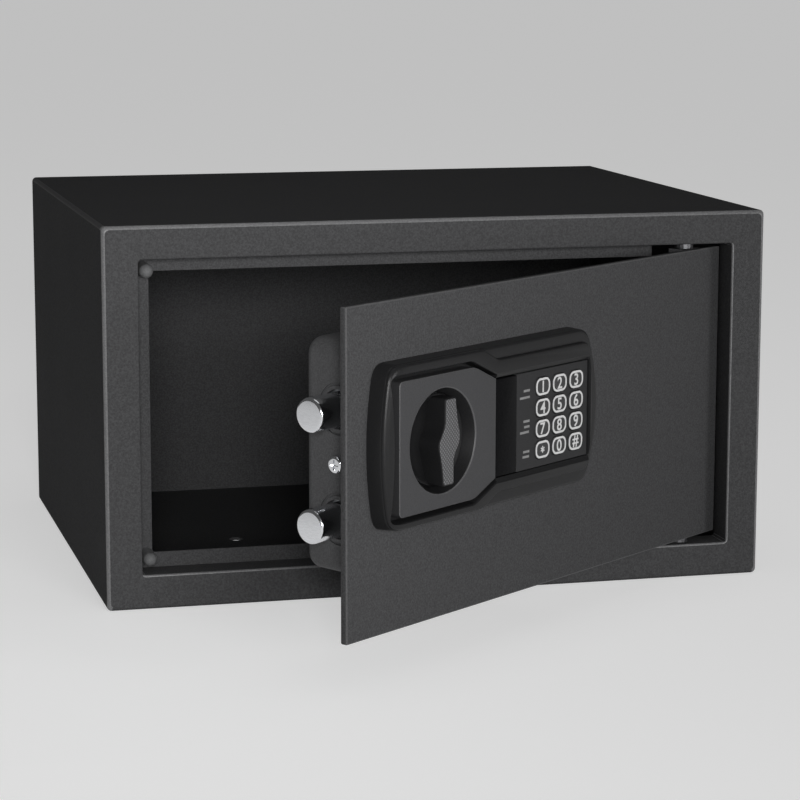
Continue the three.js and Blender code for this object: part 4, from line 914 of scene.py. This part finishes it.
# Lock cover on the back of the door
coverSize = {
    "x": (-156, 34), "z": (53, 191.5), "depth": (4.8, 61.5), "wall": 2, "corner": 12, "leastCorner": 2, "rear": 7,
    "draft": 1.6, "boltGap": 1.5, "collar": 2.2, "collarHeight": 1.2, "collarEdge": 0.6, "groove": 1.5,
    "grooveDepth": 1.3, "collarFoot": 1.5, "cutPast": 2, "cutAside": 10, "cutDeep": 5,
}
screwSize = {
    "depth": 36, "height": 119, "head": 10.5, "headHeight": 2.6, "dome": 1.8, "sink": 0.5, "shank": 4,
    "shankLength": 11, "hole": 4.6, "slot": (0.7, 2.9), "slotDepth": 1.5,
}
batterySize = {
    "x": (-37.7, 22), "z": (68, 132.4), "wall": 1.6, "margin": 3, "lid": 2.2, "lidGap": 0.3, "lidEdge": 0.35,
    "rail": 2.6, "railFoot": 0.5, "lip": 1.8, "lipThickness": 1.2,
}
ribSize = {"count": 5, "pitch": 3.4, "width": 1.4, "height": 0.9, "foot": 0.3, "ends": 18, "first": 2}
resetSize = {
    "centre": (-25.7, 163.5), "diameter": 8, "proud": 2.4, "foot": 53, "edge": 0.8, "collar": 3, "collarHeight": 1,
    "collarEdge": 0.5, "gap": 0.4,
}


def coverSections(inset, front, rear):
    def outline(amount):
        return plateOutline(coverSize, amount, max(coverSize["corner"] - amount, coverSize["leastCorner"]), 10)
    start = inset + coverSize["draft"]
    edge = [(rear - drop, outline(start + step)) for step, drop in quarterRound(coverSize["rear"], 8)]
    return [(front, outline(inset)), *edge]


def draftAt(depth):
    # How far the cover's sloping side has come in at a depth
    front, rear = coverSize["depth"]
    return coverSize["draft"] * (depth - front) / (rear - coverSize["rear"] - front)


def makeCover():
    (front, rear), (left, right), sheet, past, aside, deep = take(coverSize, "depth x wall cutPast cutAside cutDeep")
    obj = stackOutlines("lockCover", coverSections(0, front, rear))
    hollow = stackOutlines("hollow", coverSections(sheet, front - 1, rear - sheet))
    holeSize = boltSize["diameter"] + 2 * coverSize["boltGap"]
    collarSize = holeSize + 2 * coverSize["collar"]
    grooveSize = collarSize + 2 * coverSize["groove"]
    wall = left + draftAt(boltSize["depth"])
    centres = [(0, boltSize["depth"], z) for z in boltSize["heights"]]
    for centre in centres:
        span = (wall - past, wall + coverSize["grooveDepth"])
        cut(obj, addCylinder("groove", "X", centre, grooveSize, span, largeSides))
        span = (wall - coverSize["collarHeight"], wall + coverSize["collarFoot"])
        collar = addCylinder("collar", "X", centre, collarSize, span, largeSides)
        bevelEdges(collar, lambda end: end.x < wall - 1, coverSize["collarEdge"])
        join(obj, collar)
    leftEnd, rightEnd = (left - past, left + aside), (right - aside, right + past)
    screw = (0, screwSize["depth"], screwSize["height"])
    cut(obj, hollow, *(addCylinder("boltHole", "X", centre, holeSize, leftEnd, largeSides) for centre in centres))
    for span in (leftEnd, rightEnd):
        cut(obj, addCylinder("screwHole", "X", screw, screwSize["hole"], span, smallSides))
    (low, high), (bottom, top), thick = batterySize["x"], batterySize["z"], batterySize["wall"]
    opening = (low + thick, high - thick), (rear - deep, rear + past), (bottom + thick, top - thick)
    cut(obj, addBox("opening", *opening))
    margin, rail, lip = take(batterySize, "margin rail lip")
    lipFront = rear + 2 * batterySize["lidGap"] + batterySize["lid"]
    lipRear = lipFront + batterySize["lipThickness"]
    span = (low - margin, high + margin)
    for edge, side in ((top + margin, 1), (bottom - margin, -1)):
        outside = edge + side * rail
        inside = edge + side * batterySize["lidGap"]
        post = addBox("rail", span, (rear - batterySize["railFoot"], lipRear), sorted((inside, outside)))
        join(obj, join(post, addBox("lip", span, (lipFront, lipRear), sorted((edge - side * lip, outside)))))
    (x, z), across, collarTop = resetSize["centre"], resetSize["diameter"], rear + resetSize["collarHeight"]
    collar = addCylinder("collar", "Y", (x, 0, z), across + 2 * resetSize["collar"], (rear - 1, collarTop))
    bevelEdges(collar, lambda end: near(end.y, collarTop), resetSize["collarEdge"])
    join(obj, collar)
    cut(obj, addCylinder("resetHole", "Y", (x, 0, z), across + 2 * resetSize["gap"], (rear - deep, rear + deep)))
    # The cover's paint is lighter than the cabinet's: painted light
    return finishPiece(obj, doorPlace, "door", "paintedLightCoverPaint", ["lock_cover"])


def makeCoverScrew(name, node, side):
    depth, height, sink = take(screwSize, "depth height sink")
    seatAt = coverSize["x"][0 if side < 0 else 1] - side * draftAt(depth) + side * sink
    tip, centre = seatAt + side * screwSize["headHeight"], (0, depth, height)
    obj = addCylinder(name, "X", centre, screwSize["head"], sorted((seatAt, tip)))
    bevelEdges(obj, lambda end: near(end.x, tip), screwSize["dome"], 5)
    slot = (tip - screwSize["slotDepth"], tip + screwSize["slotDepth"])
    arms = [
        addBox("arm", slot, (depth - y, depth + y), (height - z, height + z))
        for y, z in (screwSize["slot"], reversed(screwSize["slot"]))
    ]
    cut(obj, join(*arms))
    shank = sorted((seatAt - side * screwSize["shankLength"], seatAt + side * sink))
    join(obj, addCylinder("shank", "X", centre, screwSize["shank"], shank, smallSides))
    return finishPiece(obj, doorPlace, "door", "brightChrome", [node])


def makeBatteryLid():
    margin, (bottom, top) = batterySize["margin"], batterySize["z"]
    low, high = batterySize["x"][0] - margin, batterySize["x"][1] + margin
    front = coverSize["depth"][1] + batterySize["lidGap"]
    rear = front + batterySize["lid"]
    obj = addBox("batteryCover", (low, high), (front, rear), (bottom - margin, top + margin))
    bevelEdges(obj, lambda end: True, batterySize["lidEdge"], 2)
    for i in range(ribSize["count"]):
        x = low + (i + ribSize["first"]) * ribSize["pitch"]
        rib = addBox(
            "rib", (x, x + ribSize["width"]), (rear - ribSize["foot"], rear + ribSize["height"]),
            (bottom + ribSize["ends"], top - ribSize["ends"]),
        )
        bevelEdges(rib, lambda end: near(end.y, rear + ribSize["height"]), batterySize["lidEdge"], 2)
        join(obj, rib)
    # The lid shares the cover's lighter paint: painted light
    return finishPiece(obj, doorPlace, "battery_cover", "paintedLightCoverPaint", ["battery_cover"])


def makeResetButton():
    x, z = resetSize["centre"]
    tip = coverSize["depth"][1] + resetSize["proud"]
    obj = addCylinder("resetButton", "Y", (x, 0, z), resetSize["diameter"], (resetSize["foot"], tip))
    bevelEdges(obj, lambda end: near(end.y, tip), resetSize["edge"], 4)
    return finishPiece(obj, doorPlace, "reset_button", "redPlastic", ["reset_button"])


makeCover()
makeCoverScrew("coverScrewLeft", "cover_screw_left", -1)
makeCoverScrew("coverScrewRight", "cover_screw_right", 1)
makeBatteryLid()
makeResetButton()
print("cover made")


# Pieces that keep the frame's shape and get a better finish
keptNodes = {
    "charcoalPaint": ["door_stop", "hinge_block_upper", "hinge_block_lower"],
    "dullSteel": ["hinge_washer_upper", "hinge_washer_lower"],
    "plainSteel": [
        "hinge_pin_upper", "hinge_pin_lower", "knob_spindle", "drive_cam", "bolt_carriage", "bolt_screw_upper",
        "bolt_screw_lower", "bolt_guide", "cover_bracket", "contact_plate_left", "contact_plate_right",
        "solenoid_body", "solenoid_plunger",
    ],
    "blackPlastic": ["battery_box"],
    "boardGreen": ["keypad_board", "control_board"],
    "turnedBrass": ["spindle_bush", "board_post"],
    "cellWrap": ["battery_cell_1", "battery_cell_2", "battery_cell_3", "battery_cell_4"],
    "redPlastic": ["status_led_red"],
    "greenPlastic": ["status_led_green"],
}
for finish, nodes in keptNodes.items():
    for node in nodes:
        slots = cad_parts[node].data.materials
        if not slots:
            slots.append(paints[finish])
        for i in range(len(slots)):
            slots[i] = paints[finish]
print("hidden pieces finished")


# Floor, light and camera
stageLook = {
    "floor": (0.62, 0.62, 0.62), "floorSize": 60, "floorDrop": 0.0004, "roughness": 0.8, "specular": 0.2,
    "floorGlow": 0.47, "world": (0.085, 0.085, 0.085),
}
middle = (0, -0.1, 0.12)
lamps = {
    "keyLight": {"place": (0.25, -2.60, 0.50), "aim": middle, "size": (0.9, 0.5), "power": 26},
    "sideLight": {"place": (1.95, -2.00, 0.50), "aim": middle, "size": (0.8, 0.5), "power": 16},
    "topLight": {"place": (0.10, -0.30, 2.30), "aim": middle, "size": (1.2, 1.2), "power": 3},
    "cornerSpot": {"place": (-0.5, -2.2, 0.55), "aim": (-0.26, -0.18, 0.27), "radius": 0.2, "cone": 32, "power": 112},
}


def seenDirectly(tree):
    # 1 where the camera sees the surface itself, in a reflection or through something clear
    path = addNode(tree, "LightPath", {})
    seen = path["Is Camera Ray"]
    for ray in ("Is Transmission Ray", "Is Glossy Ray"):
        seen = addNode(tree, "Math", {0: seen, 1: path[ray]}, operation="MAXIMUM")[0]
    return seen


def makeFloor():
    deselectAll()
    bpy.ops.mesh.primitive_plane_add(size=stageLook["floorSize"], location=(0, 0, -stageLook["floorDrop"]))
    floor = bpy.context.object
    floor.name = "floor"
    material, tree, shader = startMaterial("paleFloor")
    glow = addNode(tree, "Math", {0: seenDirectly(tree), 1: stageLook["floorGlow"]}, operation="MULTIPLY")
    setInputs(tree, shader, {
        "Base Color": (*stageLook["floor"], 1), "Roughness": stageLook["roughness"],
        "Specular IOR Level": stageLook["specular"], "Emission Color": (1, 1, 1, 1), "Emission Strength": glow[0],
    })
    floor.data.materials.append(material)


def makeWorld():
    world = bpy.data.worlds.new("studio")
    bpy.context.scene.world = world
    world.use_nodes = True
    background = world.node_tree.nodes["Background"]
    background.inputs["Color"].default_value = (*stageLook["world"], 1)
    background.inputs["Strength"].default_value = 1


def addLamp(name, look):
    # A soft panel, or a soft spot that fades from its aim outwards
    isSpot = "cone" in look
    light = bpy.data.lights.new(name, "SPOT" if isSpot else "AREA")
    light.energy = look["power"]
    if isSpot:
        light.shadow_soft_size, light.spot_size, light.spot_blend = look["radius"], math.radians(look["cone"]), 1
    else:
        light.shape = "RECTANGLE"
        light.size, light.size_y = look["size"]
    obj = bpy.data.objects.new(name, light)
    bpy.context.collection.objects.link(obj)
    obj.location = look["place"]
    obj.rotation_euler = (Vector(look["aim"]) - Vector(look["place"])).to_track_quat("-Z", "Y").to_euler()


cameraLook = {
    "azimuth": -14.441, "elevation": 9.757, "roll": 0.075, "lens": 121.383, "sensor": 36, "nearest": 0.05,
    "place": (-0.4452, -1.7957, 0.4136),
}


def makeCamera():
    azimuth, elevation, roll = (math.radians(cameraLook[key]) for key in ("azimuth", "elevation", "roll"))
    level = math.cos(elevation)
    back = Vector((math.sin(azimuth) * level, -math.cos(azimuth) * level, math.sin(elevation)))
    across = Vector((0, 0, 1)).cross(back).normalized()
    up = back.cross(across)
    right = math.cos(roll) * across + math.sin(roll) * up
    top = -math.sin(roll) * across + math.cos(roll) * up
    data = bpy.data.cameras.new("camera")
    data.sensor_width, data.lens, data.clip_start = take(cameraLook, "sensor lens nearest")
    camera = bpy.data.objects.new("camera", data)
    bpy.context.collection.objects.link(camera)
    camera.matrix_world = Matrix.Translation(cameraLook["place"]) @ Matrix((right, top, back)).transposed().to_4x4()
    bpy.context.scene.camera = camera


makeFloor()
makeWorld()
for name, look in lamps.items():
    addLamp(name, look)
makeCamera()
bpy.context.scene.view_settings.view_transform = "Standard"
print("stage set")
